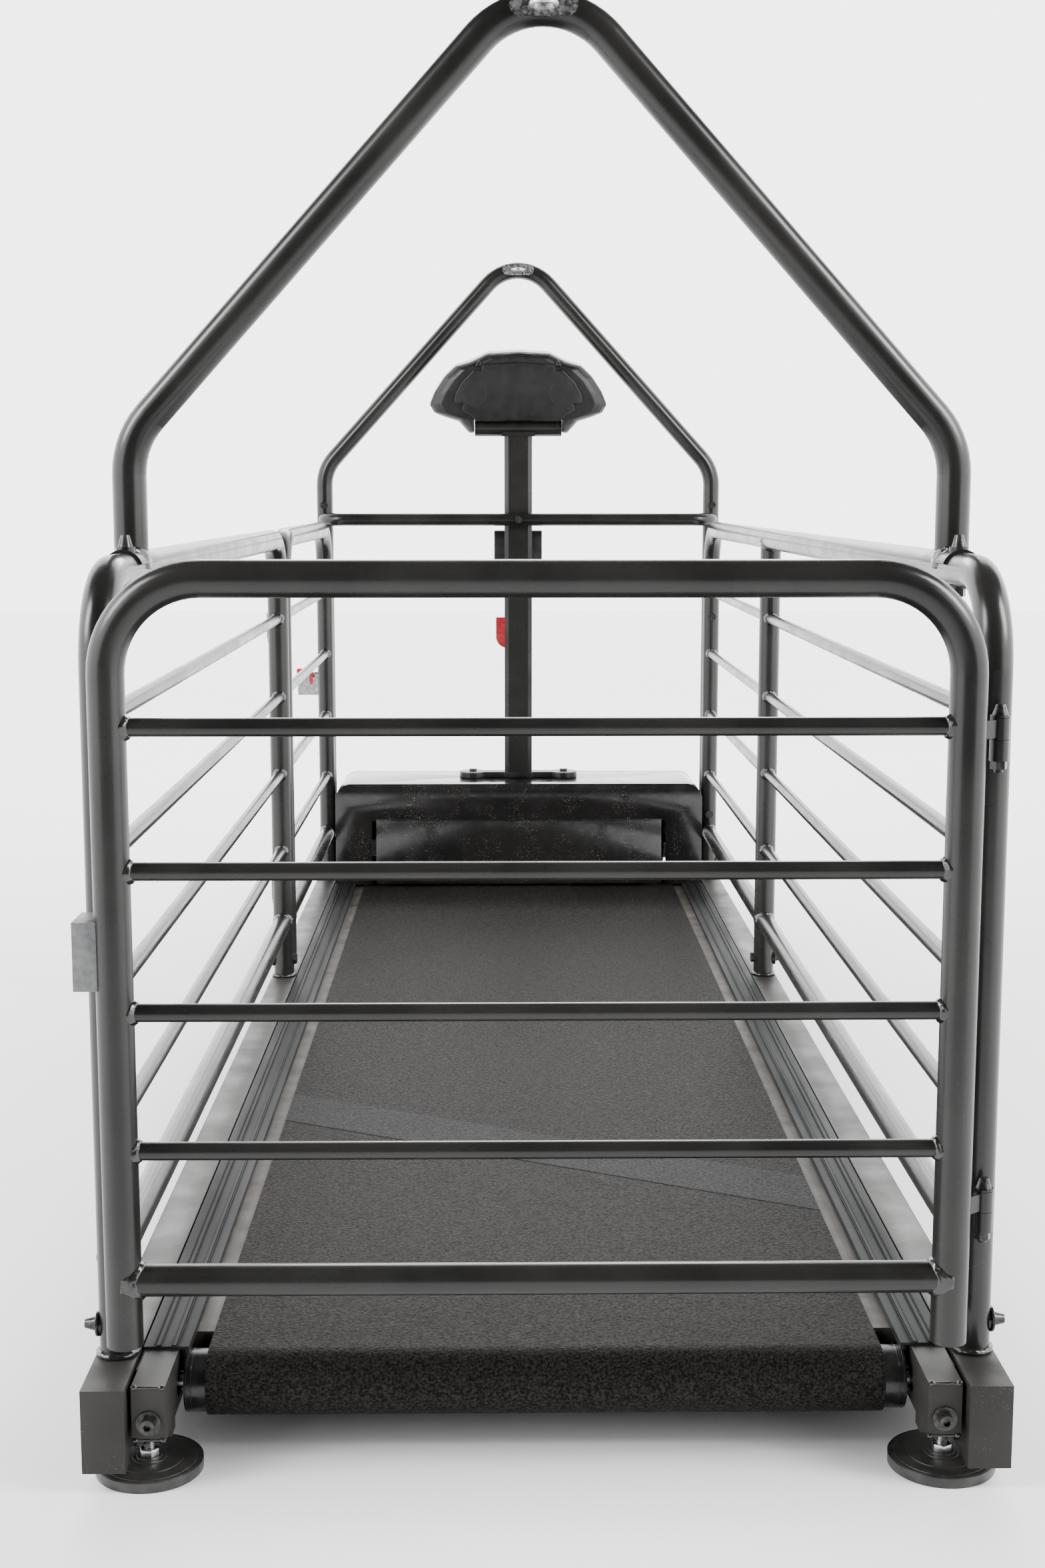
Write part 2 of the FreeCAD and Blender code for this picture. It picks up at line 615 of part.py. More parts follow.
def gable_hoop(half_span, height, slope, radius, outside, wall):
    """A hoop with upright legs and two slopes that would meet at height."""
    body = doc.addObject("PartDesign::Body", "gable_hoop")
    path = sketch_on(body, "XZ_Plane", "path")
    eave = height - half_span * tangent(slope)
    leg_top = eave - radius * tangent((90 - slope) / 2)
    peak = height - radius / cosine(slope)
    reach = radius * sine(slope)
    lift = radius * cosine(slope)
    shoulder_x = half_span - radius + reach
    left = straight(path, (-half_span, 0), (-half_span, leg_top))
    first = quarter(path, (radius - half_span, leg_top), radius, 90 + slope, 180)
    rise = straight(path, (-shoulder_x, leg_top + lift), (-reach, peak + lift))
    apex = quarter(path, (0, peak), radius, 90 - slope, 90 + slope)
    fall = straight(path, (reach, peak + lift), (shoulder_x, leg_top + lift))
    second = quarter(path, (half_span - radius, leg_top), radius, 0, 90 - slope)
    right = straight(path, (half_span, leg_top), (half_span, 0))
    tangencies = (
        (left, 2, first, 2), (first, 1, rise, 1), (rise, 2, apex, 2),
        (apex, 1, fall, 1), (fall, 2, second, 2), (second, 1, right, 1),
    )
    for joint in tangencies:
        fix(path, "Tangent", *joint)
    fix(path, "Vertical", left)
    fix(path, "Vertical", right)
    fix(path, "PointOnObject", left, 1, -1)
    fix(path, "PointOnObject", apex, 3, -2)
    fix(path, "Symmetric", left, 1, right, 2, -2)
    fix(path, "Equal", first, apex)
    fix(path, "Equal", apex, second)
    fix(path, "Radius", apex, length=radius)
    fix(path, "Angle", rise, length=slope)
    fix(path, "Angle", fall, length=-slope)
    fix(path, "DistanceX", left, 1, right, 2, length=2 * half_span)
    fix(path, "DistanceY", left, 1, apex, 3, length=peak)
    return sweep(body, path, half_span, outside, wall)


def turned(corners):
    """A body turned about its own X axis from a half section (x, radius)."""
    body = doc.addObject("PartDesign::Body", "turned")
    section = outline(sketch_on(body, "XZ_Plane", "half_section"), corners)
    revolve = body.newObject("PartDesign::Revolution", "revolve")
    revolve.Profile = section
    revolve.ReferenceAxis = (section, ["H_Axis"])
    revolve.Angle = 360
    body.Tip = revolve
    return body


def extruded(role, corners, length):
    """An outline pushed out evenly to both sides of an origin plane."""
    body = doc.addObject("PartDesign::Body", "extruded")
    section = outline(sketch_on(body, role, "section"), corners)
    pad = body.newObject("PartDesign::Pad", "pad")
    pad.Profile = section
    pad.SideType = "Symmetric"
    pad.setExpression("Length", formula_of(length))
    body.Tip = pad
    return body


# Side channels with the stubs that the posts slide over
bolt_hole = pin + 2 * stub_clearance
stub_diameter = tube - 2 * tube_wall - 2 * stub_clearance


def post_stub(x, y):
    collar = rod("Z", tube + 2 * collar_margin, channel_top, post_foot, (x, y))
    stub = rod("Z", stub_diameter, post_foot, post_foot + stub_height, (x, y))
    return [collar, stub]


def cross_hole(x, y, z):
    """A bolt hole along X through a post."""
    return rod("X", bolt_hole, x - tube, x + tube, (y, z))


def side_channel(side, stations):
    middle = side * post_line
    low, high = middle - channel_width / 2, middle + channel_width / 2
    outer = block((low, high), (near_end, far_end), (channel_clearance, channel_top))
    inner = block(
        (low + channel_wall, high - channel_wall),
        (near_end + channel_wall, far_end - channel_wall),
        (channel_clearance + channel_wall, channel_top - channel_wall),
    )
    floor_top = channel_clearance + channel_wall
    drain = rod("Z", channel_width / 2, channel_clearance - 1, floor_top + 1, (middle, 0))
    stubs = [part for y in stations for part in post_stub(middle, y)]
    holes = [cross_hole(middle, y, post_bolt_height) for y in stations]
    return cut(join(outer, *stubs), inner, drain, *holes)


left_stations = (near_post_y, middle_post_y, far_hoop_y)
right_stations = (near_post_y, middle_post_y, far_leg_y, far_hoop_y)
node("left_side_channel", side_channel(-1, left_stations))
node("right_side_channel", side_channel(1, right_stations))

# Main frame: two rails, cross members, foot blocks and the bridge under the mast
rail_near = near_end + rail_setback
rail_far = far_end - rail_setback
deck_near = rear_axle_y + roller_radius + deck_roller_gap
deck_far = front_axle_y - roller_radius - deck_roller_gap


def side_to_side(side, low, high):
    """The ends of a stretch between two distances from the middle, on one side."""
    return (low, high) if side > 0 else (-high, -low)


def rail_parts(side):
    x = side_to_side(side, rail_inner, rail_outer)
    inside = side_to_side(side, rail_inner + rail_wall, rail_outer - rail_wall)
    outer = block(x, (rail_near, rail_far), (rail_bottom, rail_top))
    inside_z = (rail_bottom + rail_wall, rail_top - rail_wall)
    inner = block(inside, (rail_near + end_plate, rail_far + 1), inside_z)
    spacers = []
    for index in range(spacer_count):
        y = near_end + spacer_length + index * (frame_length - 3 * spacer_length) / (spacer_count - 1)
        gap = side_to_side(side, rail_outer, rail_outer + rail_gap)
        z = (rail_bottom + spacer_inset, rail_top - spacer_inset)
        spacers.append(block(gap, (y, y + spacer_length), z))
    foot_blocks = []
    foot_holes = []
    for y in foot_places:
        middle = (y - foot_boss / 2, y + foot_boss / 2)
        foot_blocks.append(block(x, middle, (rail_bottom - foot_boss_height, rail_bottom + rail_wall)))
        bore = foot_stem + 2 * foot_fit
        foot_holes.append(rod("Z", bore, rail_bottom - foot_boss_height - 1, rail_bottom + rail_wall + 1,
                              (side * foot_line, y)))
    return [outer, *spacers, *foot_blocks], [inner, *foot_holes]


def axle_slot(side, y, travel):
    x = side_to_side(side, rail_inner - 1, rail_inner + rail_wall + 1)
    wide = axle_diameter + axle_play
    ends = [rod("X", wide, *x, (place, roller_axis_height)) for place in (y - travel, y + travel)]
    half = wide / 2
    between = block(x, (y - travel, y + travel), (roller_axis_height - half, roller_axis_height + half))
    return [*ends, between]


def cross_member(y):
    """A steel channel, open underneath, from rail to rail."""
    half = cross_width / 2
    bottom = cross_top - cross_height
    outer = block((-rail_inner, rail_inner), (y - half, y + half), (bottom, cross_top))
    inner = block(
        (-rail_inner, rail_inner),
        (y - half + cross_wall, y + half - cross_wall),
        (bottom - 1, cross_top - cross_wall),
    )
    return cut(outer, inner)


spacer_count = 6
foot_places = (near_end + foot_setback, far_end - foot_setback)
deck_margin = cross_width
cross_step = (deck_far - deck_near - 2 * deck_margin) / (cross_count - 1)
cross_places = [deck_near + deck_margin + index * cross_step for index in range(cross_count)]
solid_parts, hollow_parts = [], []
for side in (-1, 1):
    solids, hollows = rail_parts(side)
    solid_parts += solids
    hollow_parts += hollows
    hollow_parts += axle_slot(side, rear_axle_y, slot_travel)
    through_wall = side_to_side(side, rail_inner - 1, rail_inner + rail_wall + 1)
    through_plate = (rail_near - 1, rail_near + end_plate + 1)
    bolt_across = (side * rail_middle, roller_axis_height)
    hollow_parts += [
        rod("X", axle_diameter + axle_play, *through_wall, (front_axle_y, roller_axis_height)),
        rod("Y", tension_bolt + axle_play, *through_plate, bolt_across),
    ]
rails = cut(join(*solid_parts), *hollow_parts)
crosses = [cross_member(y) for y in (*cross_places, motor_y)]

# Hood over the drive: a profile along Y cut to a rounded arch across X
hood_height = hood_top - rail_top
hood_length = hood_end_y - hood_y
hood_slope_start = hood_edge + hood_flat
hood_back = hood_height - (hood_length - hood_slope_start) * tangent(hood_fall)


def hood_solid(inset):
    """The hood's outside, or its inside when inset is the wall thickness."""
    edge_shift = inset * tangent(22.5)
    fall_shift = inset * tangent(hood_fall / 2)
    back_shift = inset * tangent((90 - hood_fall) / 2)
    corners = [
        (inset, 0), (hood_length - inset, 0), (hood_length - inset, hood_back - back_shift),
        (hood_slope_start - fall_shift, hood_height - inset), (hood_edge + edge_shift, hood_height - inset),
        (inset, hood_height - hood_edge - edge_shift),
    ]
    profile = put(extruded("YZ_Plane", corners, 2 * (hood_half - inset)), 0, hood_y, rail_top)
    round_x = hood_half - hood_shoulder
    round_z = hood_top - hood_shoulder
    y = (hood_y - 1, hood_end_y + 1)
    rounds = [rod("Y", 2 * (hood_shoulder - inset), *y, (side * round_x, round_z)) for side in (-1, 1)]
    middle = block((-round_x, round_x), y, (rail_top, hood_top - inset))
    lower = block((inset - hood_half, hood_half - inset), y, (rail_top, round_z))
    return overlap(profile, join(middle, lower, *rounds))


# The bridge stands on the rails under the hood top and carries the mast
bridge_top = hood_top - hood_wall
bridge_near, bridge_far = mast_y - bridge_half, mast_y + bridge_half
bridge_y = (bridge_near, bridge_far)
bridge_beam = block((-rail_bridge, rail_bridge), bridge_y, (bridge_top - bridge_beam_height, bridge_top))
bridge_legs = [
    block(side_to_side(side, rail_bridge - bridge_leg, rail_bridge), bridge_y, (rail_top, bridge_top))
    for side in (-1, 1)
]
bridge = overlap(join(bridge_beam, *bridge_legs), hood_solid(hood_wall))
base_bolt_holes = [
    rod("Z", bolt_hole, bridge_top - bridge_beam_height - 1, bridge_top + 1, (side * base_bolt_line, mast_y))
    for side in (-1, 1)
]
node("main_frame", cut(join(rails, *crosses, bridge), *base_bolt_holes))

# Deck board on rubber cushions
deck_half = rail_inner - deck_side_gap
node("deck_board", block((-deck_half, deck_half), (deck_near, deck_far), (deck_bottom, deck_top)))
cushion_line = rail_inner - cushion_size
node("deck_cushions", group(*[
    block(
        (side * cushion_line - cushion_size / 2, side * cushion_line + cushion_size / 2),
        (y - cushion_size / 2, y + cushion_size / 2),
        (cross_top, deck_bottom),
    )
    for side in (-1, 1) for y in cross_places
]))


def foot_rail(side):
    """The strip beside the belt: a plate on the rail, an inner lip and two ribs."""
    width = tread_outer - tread_inner
    step = rail_top - deck_top
    top = step + tread_thickness
    rib_height = top + tread_rib
    third = width / 3
    rib = tread_rib_width / 2
    corners = [
        (0, 0), (tread_lip, 0), (tread_lip, step), (width, step), (width, top),
        (2 * third + rib, top), (2 * third + rib, rib_height),
        (2 * third - rib, rib_height), (2 * third - rib, top),
        (third + rib, top), (third + rib, rib_height),
        (third - rib, rib_height), (third - rib, top), (0, top),
    ]
    length = hood_y - near_end - tread_start
    strip = extruded("XZ_Plane", corners, length)
    middle = near_end + tread_start + length / 2
    if side > 0:
        return put(strip, tread_inner, middle, deck_top)
    return put(strip, -tread_inner, middle, deck_top, Rotation(Vector(0, 0, 1), 180))


node("left_foot_rail", foot_rail(-1))
node("right_foot_rail", foot_rail(1))


def belt_loop(reach, radius):
    """The solid inside a belt line of the given half width and end radius."""
    ends = [rod("X", 2 * radius, -reach, reach, (y, roller_axis_height)) for y in (rear_axle_y, front_axle_y)]
    middle = block(
        (-reach, reach),
        (rear_axle_y, front_axle_y),
        (roller_axis_height - radius, roller_axis_height + radius),
    )
    return join(*ends, middle)


belt_half = belt_width / 2
node("running_belt", cut(belt_loop(belt_half, belt_outside), belt_loop(belt_half + 1, belt_inside)))


def roller(y):
    """A roller shell with an end plug bored for each bearing."""
    length = 2 * roller_half
    bore = bearing_diameter / 2 + bearing_fit
    inside = roller_radius - roller_wall
    half_section = [
        (0, bore), (0, roller_radius), (length, roller_radius), (length, bore),
        (length - roller_cap, bore), (length - roller_cap, inside),
        (roller_cap, inside), (roller_cap, bore),
    ]
    return put(turned(half_section), -roller_half, y, roller_axis_height)


node("rear_roller", roller(rear_axle_y))
node("front_roller", roller(front_axle_y))

axle_half = rail_inner + axle_reach
axles = [
    rod("X", axle_diameter, -axle_half, axle_half, (y, roller_axis_height))
    for y in (rear_axle_y, front_axle_y)
]
bolt_bores = [
    rod(
        "Y", tension_bolt, rear_axle_y - axle_diameter, rear_axle_y + axle_diameter,
        (side * rail_middle, roller_axis_height),
    )
    for side in (-1, 1)
]
node("roller_axles", cut(group(*axles), *bolt_bores))


def bearing(side, y):
    x = side_to_side(side, roller_half - bearing_width, roller_half)
    ring = rod("X", bearing_diameter, *x, (y, roller_axis_height))
    return cut(ring, rod("X", axle_diameter, x[0] - 1, x[1] + 1, (y, roller_axis_height)))


node("roller_bearings", group(*[bearing(side, y) for side in (-1, 1) for y in (rear_axle_y, front_axle_y)]))


def tension_bolt_set(side):
    """Bolt and washer that pull the rear axle back and tighten the belt."""
    across = (side * rail_middle, roller_axis_height)
    washer_y = rail_near - washer_thickness
    head_y = washer_y - tension_bolt
    shank = rod("Y", tension_bolt, washer_y, rear_axle_y + axle_diameter, across)
    washer = rod("Y", tension_washer, washer_y, rail_near, across)
    head = rod("Y", tension_head, head_y, washer_y, across)
    socket = hexagon("Y", tension_socket, head_y - 1, tension_bolt / 2 + 1, across)
    return cut(join(shank, washer, head), socket)


node("belt_tension_bolts", group(*[tension_bolt_set(side) for side in (-1, 1)]))


def levelling_foot(side, y):
    across = (side * foot_line, y)
    rim = rod("Z", foot_diameter, 0, foot_height - foot_bevel, across)
    upper = foot_diameter - 2 * foot_bevel
    shoulder = taper("Z", foot_diameter, upper, foot_height - foot_bevel, foot_bevel, across)
    flats = hexagon("Z", foot_nut, foot_height, foot_nut_height, across)
    stem = rod("Z", foot_stem, foot_height, foot_height + foot_stem_length, across)
    return join(rim, shoulder, flats, stem)


for place, y in zip(("near", "far"), foot_places):
    for hand, side in (("left", -1), ("right", 1)):
        node(f"{place}_{hand}_foot", levelling_foot(side, y))

# Cage: tube frames, their rungs and the holes for their bolts
frame_height = cage_rail_height - post_foot
rung_heights = [rung_top - index * rung_pitch for index in range(rung_count)]


def along_frame(body, x, near_y, far_y, foot):
    """Turns an upside-down U to run along Y between two legs."""
    return put(body, x, (near_y + far_y) / 2, foot, Rotation(Vector(0, 0, 1), 90))


def post_solid(x, y):
    return rod("Z", tube, channel_clearance, cage_rail_height, (x, y))


def rungs(axis, low, high, across, ends):
    """Four rungs and the low tube between two posts, their ends fitted round the posts."""
    bars = []
    levels = [(z, rung_tube) for z in rung_heights] + [(low_tube_height, low_tube)]
    for z, outside in levels:
        outer = rod(axis, outside, low, high, (across, z))
        inner = rod(axis, outside - 2 * rung_wall, low - 1, high + 1, (across, z))
        bars.append(cut(outer, inner))
    return cut(group(*bars), *ends)


def barrel_with_tab(pin_x, pin_y, low, high, post_x, post_y):
    """A hinge barrel and the tab that joins it to a post; low and high are its ends."""
    ring = rod("Z", barrel, low, high, (pin_x, pin_y))
    tab = doc.addObject("Part::Box", "tab")
    reach_x, reach_y = float(post_x - pin_x), float(post_y - pin_y)
    angle = math.degrees(math.atan2(reach_y, reach_x))
    tab.Length = math.hypot(reach_x, reach_y)
    set_length(tab, "Width", hinge_tab)
    set_length(tab, "Height", high - low - hinge_tab / 2)
    turn = Rotation(Vector(0, 0, 1), angle)
    side_step = turn.multVec(Vector(0, -float(hinge_tab) / 2, 0))
    put(tab, pin_x + side_step.x, pin_y + side_step.y, low + hinge_tab / 4, turn)
    tab_end = post_solid(post_x, post_y)
    bore = rod("Z", pin_hole, low - 1, high + 1, (pin_x, pin_y))
    return cut(join(ring, cut(tab, tab_end)), bore)


def barrels(pin_x, pin_y, post_x, post_y, start):
    """The barrels of both hinges; start is a barrel's lower end, counted from its hinge's split."""
    return [
        barrel_with_tab(pin_x, pin_y, split + start, split + start + barrel_height, post_x, post_y)
        for split in (hinge_high, hinge_low)
    ]


def lower_barrels(pin_x, pin_y, post_x, post_y):
    return barrels(pin_x, pin_y, post_x, post_y, -(barrel_split / 2 + barrel_height))


def upper_barrels(pin_x, pin_y, post_x, post_y):
    return barrels(pin_x, pin_y, post_x, post_y, barrel_split / 2)


def side_frame(x, near_y, far_y):
    half_span = (far_y - near_y) / 2
    bent = bent_frame(half_span, frame_height, bend, tube, tube_wall)
    return along_frame(bent, x, near_y, far_y, post_foot)


def rail_solid(x, near_y, far_y):
    return rod("Y", tube, near_y, far_y, (x, cage_rail_height))


def through_hole(x, y, z):
    """A bolt hole along Y through a far leg and the hoop leg behind it."""
    return rod("Y", bolt_hole, y - tube, y + hoop_leg_gap + tube, (x, z))


# The right panel's top rail is butt welded over its middle post
right_frame = side_frame(post_line, near_post_y, far_leg_y)
middle_tube = cut(
    rod("Z", tube, post_foot, cage_rail_height, (post_line, middle_post_y)),
    rod("Z", tube - 2 * tube_wall, post_foot - 1, cage_rail_height + 1, (post_line, middle_post_y)),
    rail_solid(post_line, near_post_y, far_leg_y),
    cross_hole(post_line, middle_post_y, post_bolt_height),
)
saddle_bolt_places = [near_hoop_y - saddle_bolt_offset, near_hoop_y + saddle_bolt_offset]


def saddle_bolt_hole(x, y):
    return rod("Z", bolt_hole, cage_rail_height - tube, cage_rail_height + tube, (x, y))


right_holes = [cross_hole(post_line, y, post_bolt_height) for y in (near_post_y, far_leg_y)]
right_holes += [saddle_bolt_hole(post_line, y) for y in saddle_bolt_places]
right_holes += [through_hole(post_line, far_leg_y, z) for z in (panel_bolt_high, panel_bolt_low)]
gate_barrels = lower_barrels(gate_pin_x, gate_pin_y, post_line, near_post_y)
right_bends = cut(right_frame, *right_holes)


def beyond_middle(low, high):
    """Everything of the right panel between two places along Y."""
    return block((post_line - tube, post_line + tube), (low, high), (post_foot - 1, cage_rail_height + tube))


near_bend = join(cut(right_bends, beyond_middle(middle_post_y, far_end)), *gate_barrels)
far_bend = cut(right_bends, beyond_middle(near_end, middle_post_y))
node("right_panel_frame", group(near_bend, far_bend, middle_tube))
right_posts = [post_solid(post_line, y) for y in (near_post_y, middle_post_y, far_leg_y)]
node("right_panel_rungs", rungs("Y", near_post_y, far_leg_y, post_line, right_posts))

left_frame = side_frame(-post_line, near_post_y, middle_post_y)
left_holes = [cross_hole(-post_line, y, post_bolt_height) for y in (near_post_y, middle_post_y)]
left_holes += [saddle_bolt_hole(-post_line, y) for y in saddle_bolt_places]
door_pin_x = -post_line - hinge_out
node("left_panel_frame", join(
    cut(left_frame, *left_holes),
    *lower_barrels(door_pin_x, door_pin_y, -post_line, middle_post_y),
))
left_posts = [post_solid(-post_line, y) for y in (near_post_y, middle_post_y)]
node("left_panel_rungs", rungs("Y", near_post_y, middle_post_y, -post_line, left_posts))

door_tube = bent_frame((far_leg_y - door_leg_y) / 2, cage_rail_height - door_leg_foot, bend, tube, tube_wall)
node("door_frame", join(
    along_frame(door_tube, -post_line, door_leg_y, far_leg_y, door_leg_foot),
    *upper_barrels(door_pin_x, door_pin_y, -post_line, door_leg_y),
))
door_posts = [post_solid(-post_line, y) for y in (door_leg_y, far_leg_y)]
node("door_rungs", rungs("Y", door_leg_y, far_leg_y, -post_line, door_posts))

gate_left_x, gate_right_x = -gate_half - gate_shift, gate_half - gate_shift
gate_tube = bent_frame(gate_half, cage_rail_height - gate_foot, bend, tube, tube_wall)
node("gate_frame", join(
    put(gate_tube, -gate_shift, gate_y, gate_foot),
    *upper_barrels(gate_pin_x, gate_pin_y, gate_right_x, gate_y),
))
gate_posts = [post_solid(x, gate_y) for x in (gate_left_x, gate_right_x)]
node("gate_rungs", rungs("X", gate_left_x, gate_right_x, gate_y, gate_posts))

# Leash hoops
saddle_outside = tube + 2 * saddle_thickness


def hoop(foot, y):
    return put(gable_hoop(post_line, hoop_vertex - foot, hoop_slope, bend, tube, tube_wall), 0, y, foot)


near_hoop_feet = [
    rod("Y", saddle_outside, near_hoop_y - tube, near_hoop_y + tube, (side * post_line, cage_rail_height))
    for side in (-1, 1)
]
node("near_hoop", cut(hoop(cage_rail_height, near_hoop_y), *near_hoop_feet))
hoop_holes = [cross_hole(side * post_line, far_hoop_y, post_bolt_height) for side in (-1, 1)]
hoop_holes += [through_hole(post_line, far_leg_y, z) for z in (panel_bolt_high, panel_bolt_low)]
hoop_holes += [through_hole(side * post_line, far_leg_y, hoop_bolt_height) for side in (-1, 1)]
node("far_hoop", cut(hoop(post_foot, far_hoop_y), *hoop_holes))


def saddle(side):
    """A plate bent over the top rail under a hoop leg."""
    span = (near_hoop_y - saddle_length / 2, near_hoop_y + saddle_length / 2)
    across = (side * post_line, cage_rail_height)
    wedge = rod("Y", saddle_outside, *span, across)
    first = 270 - float(saddle_half_angle)
    wedge.Placement = Placement(wedge.Placement.Base, ALONG["Y"] * Rotation(Vector(0, 0, 1), first))
    set_length(wedge, "Angle", 2 * saddle_half_angle)
    rail = rod("Y", tube, *span, across)
    return cut(wedge, rail, *[saddle_bolt_hole(side * post_line, y) for y in saddle_bolt_places])


node("hoop_saddles", group(*[saddle(side) for side in (-1, 1)]))


def leash_eye(y):
    """An oval plate fitted to the hoop tube, with a half ring standing out of it."""
    face = y - tube_radius - eye_plate_thickness
    back = y - eye_plate_seat
    apex = hoop_vertex - bend / cosine(hoop_slope) + bend
    half = (eye_plate_length - eye_plate_height) / 2
    ends = [rod("Y", eye_plate_height, face, back, (side * half, apex)) for side in (-1, 1)]
    middle = block((-half, half), (face, back), (apex - eye_plate_height / 2, apex + eye_plate_height / 2))
    tube_bar = doc.addObject("Part::Torus", "tube_bar")
    set_length(tube_bar, "Radius1", bend)
    set_length(tube_bar, "Radius2", tube_radius)
    put(tube_bar, 0, y, apex - bend, ALONG["Y"])
    ring = doc.addObject("Part::Torus", "ring")
    set_length(ring, "Radius1", eye_ring_radius)
    set_length(ring, "Radius2", eye_wire / 2)
    put(ring, 0, face, apex, Rotation())
    ring_back = block(
        (-eye_plate_length, eye_plate_length),
        (face + eye_wire / 4, face + eye_plate_length),
        (apex - eye_wire, apex + eye_wire),
    )
    return join(cut(join(*ends, middle), tube_bar), cut(ring, ring_back))


node("leash_eyes", group(leash_eye(near_hoop_y), leash_eye(far_hoop_y)))

# Hood, belt guard and drive
hood_base_holes = [
    rod("Z", bolt_hole, hood_top - hood_wall - 1, hood_top + 1, (side * base_bolt_line, mast_y))
    for side in (-1, 1)
]
mouth = block(
    (-hood_mouth_half, hood_mouth_half),
    (hood_y - 1, hood_y + hood_wall + 1),
    (rail_top - 1, hood_mouth_height),
)
inlet_opening = block(
    (-inlet_place - inlet_width / 2, inlet_width / 2 - inlet_place),
    (hood_end_y - hood_wall - 1, hood_end_y + 1),
    (rear_panel_height - inlet_height / 2, rear_panel_height + inlet_height / 2),
)
node("motor_hood", cut(hood_solid(0), hood_solid(hood_wall), mouth, inlet_opening, *hood_base_holes))

guard_bottom = roller_axis_height + belt_outside + guard_gap
guard_height = guard_top - guard_bottom
guard = extruded("YZ_Plane", [
    (0, 0), (guard_thickness, 0), (guard_lean + guard_thickness, guard_height - guard_seat),
    (guard_lean + guard_thickness, guard_height), (guard_lean, guard_height),
    (guard_lean, guard_height - guard_seat),
], 2 * guard_half)
node("belt_guard", put(guard, 0, hood_y - guard_lean - guard_thickness, guard_bottom))

motor_across = (motor_y, motor_height)
motor_near, motor_far = motor_centre - motor_length / 2, motor_centre + motor_length / 2
shaft_bore = rod("X", shaft_diameter + 2 * bearing_fit, motor_near + end_plate, motor_far + 1, motor_across)
motor_case = rod("X", motor_diameter, motor_near, motor_far, motor_across)
node("drive_motor", cut(motor_case, shaft_bore))
saddle_block = block(
    (motor_centre - mount_half, motor_centre + mount_half),
    (motor_y - mount_reach, motor_y + mount_reach),
    (cross_top, mount_height),
)
node("motor_mount", cut(saddle_block, rod("X", motor_diameter, motor_near - 1, motor_far + 1, motor_across)))
pulley_end = pulley_place + pulley_width
node("motor_rotor", join(
    rod("X", shaft_diameter, motor_near + 2 * end_plate, pulley_end, motor_across),
    rod("X", flywheel_diameter, flywheel_place, flywheel_place + flywheel_width, motor_across),
    rod("X", drive_pulley, pulley_place, pulley_end, motor_across),
))
front_across = (front_axle_y, roller_axis_height)
node("roller_pulley", cut(
    rod("X", roller_pulley_diameter, pulley_place, pulley_end, front_across),
    rod("X", roller_diameter, pulley_place - 1, pulley_end + 1, front_across),
))


def drive_loop(play, spare):
    """The solid inside the drive belt's line, kept off both pulleys by play and spare wider each side."""
    reach_y = motor_y - front_axle_y
    reach_z = motor_height - roller_axis_height
    big = roller_pulley_diameter / 2 + play
    small = drive_pulley / 2 + play
    distance = math.hypot(float(reach_y), float(reach_z))
    heading = math.atan2(float(reach_z), float(reach_y))
    lean = math.acos((float(big) - float(small)) / distance)
    corners = []
    for (y, z), radius in ((front_across, big), (motor_across, small)):
        for angle in (heading - lean, heading + lean):
            corner_y = y + radius * math.cos(angle)
            corner_z = z + radius * math.sin(angle)
            corners.append((float(corner_y), float(corner_z)))
    first, second, third, fourth = corners
    low = float(pulley_place + (pulley_width - drive_belt_width) / 2) - spare
    points = [Vector(low, y, z) for y, z in (first, third, fourth, second)]
    face = Part.Face(Part.makePolygon([*points, points[0]]))
    between = doc.addObject("Part::Feature", "between_pulleys")
    wide = float(drive_belt_width) + 2 * spare
    between.Shape = face.extrude(Vector(wide, 0, 0))
    ends = [
        rod("X", 2 * radius, low, low + wide, across)
        for across, radius in ((front_across, big), (motor_across, small))
    ]
    return join(between, *ends)


node("drive_belt", cut(drive_loop(belt_play + drive_belt_thickness, 0), drive_loop(belt_play, 1)))

controller = block(
    (-rail_inner + controller_margin, controller_length - rail_inner + controller_margin),
    (motor_y - controller_depth / 2, motor_y + controller_depth / 2),
    (cross_top, cross_top + controller_height),
)
node("motor_controller", controller)

inlet_body = block(
    (-inlet_place - inlet_width / 2, inlet_width / 2 - inlet_place),
    (hood_end_y - inlet_depth, hood_end_y),
    (rear_panel_height - inlet_height / 2, rear_panel_height + inlet_height / 2),
)
flange_half = inlet_width / 2 + inlet_rim
flange_rise = inlet_height / 2 + inlet_rim
inlet_flange_plate = block(
    (-inlet_place - flange_half, flange_half - inlet_place),
    (hood_end_y, hood_end_y + inlet_flange),
    (rear_panel_height - flange_rise, rear_panel_height + flange_rise),
)
socket = block(
    (-inlet_place - socket_width / 2, socket_width / 2 - inlet_place),
    (hood_end_y + inlet_flange - socket_depth, hood_end_y + inlet_flange + 1),
    (rear_panel_height - socket_height / 2, rear_panel_height + socket_height / 2),
)
pin_root = hood_end_y + inlet_flange - socket_depth - 1
pins = [
    rod("Y", socket_pin, pin_root, hood_end_y, (x - inlet_place, rear_panel_height))
    for x in (-socket_pitch, 0, socket_pitch)
]
node("power_inlet", join(cut(join(inlet_body, inlet_flange_plate), socket), *pins))

# Mast with its foot, the handle bow, the remote cradle and the stop paddle


def chamfered(width, depth, corner, low, high):
    """An upright bar on the mast's middle line with its four corners cut off."""
    corners = [
        (corner, 0), (width - corner, 0), (width, corner), (width, depth - corner),
        (width - corner, depth), (corner, depth), (0, depth - corner), (0, corner),
    ]
    bar = extruded("XY_Plane", corners, high - low)
    return put(bar, -(width / 2), mast_y - depth / 2, (low + high) / 2)


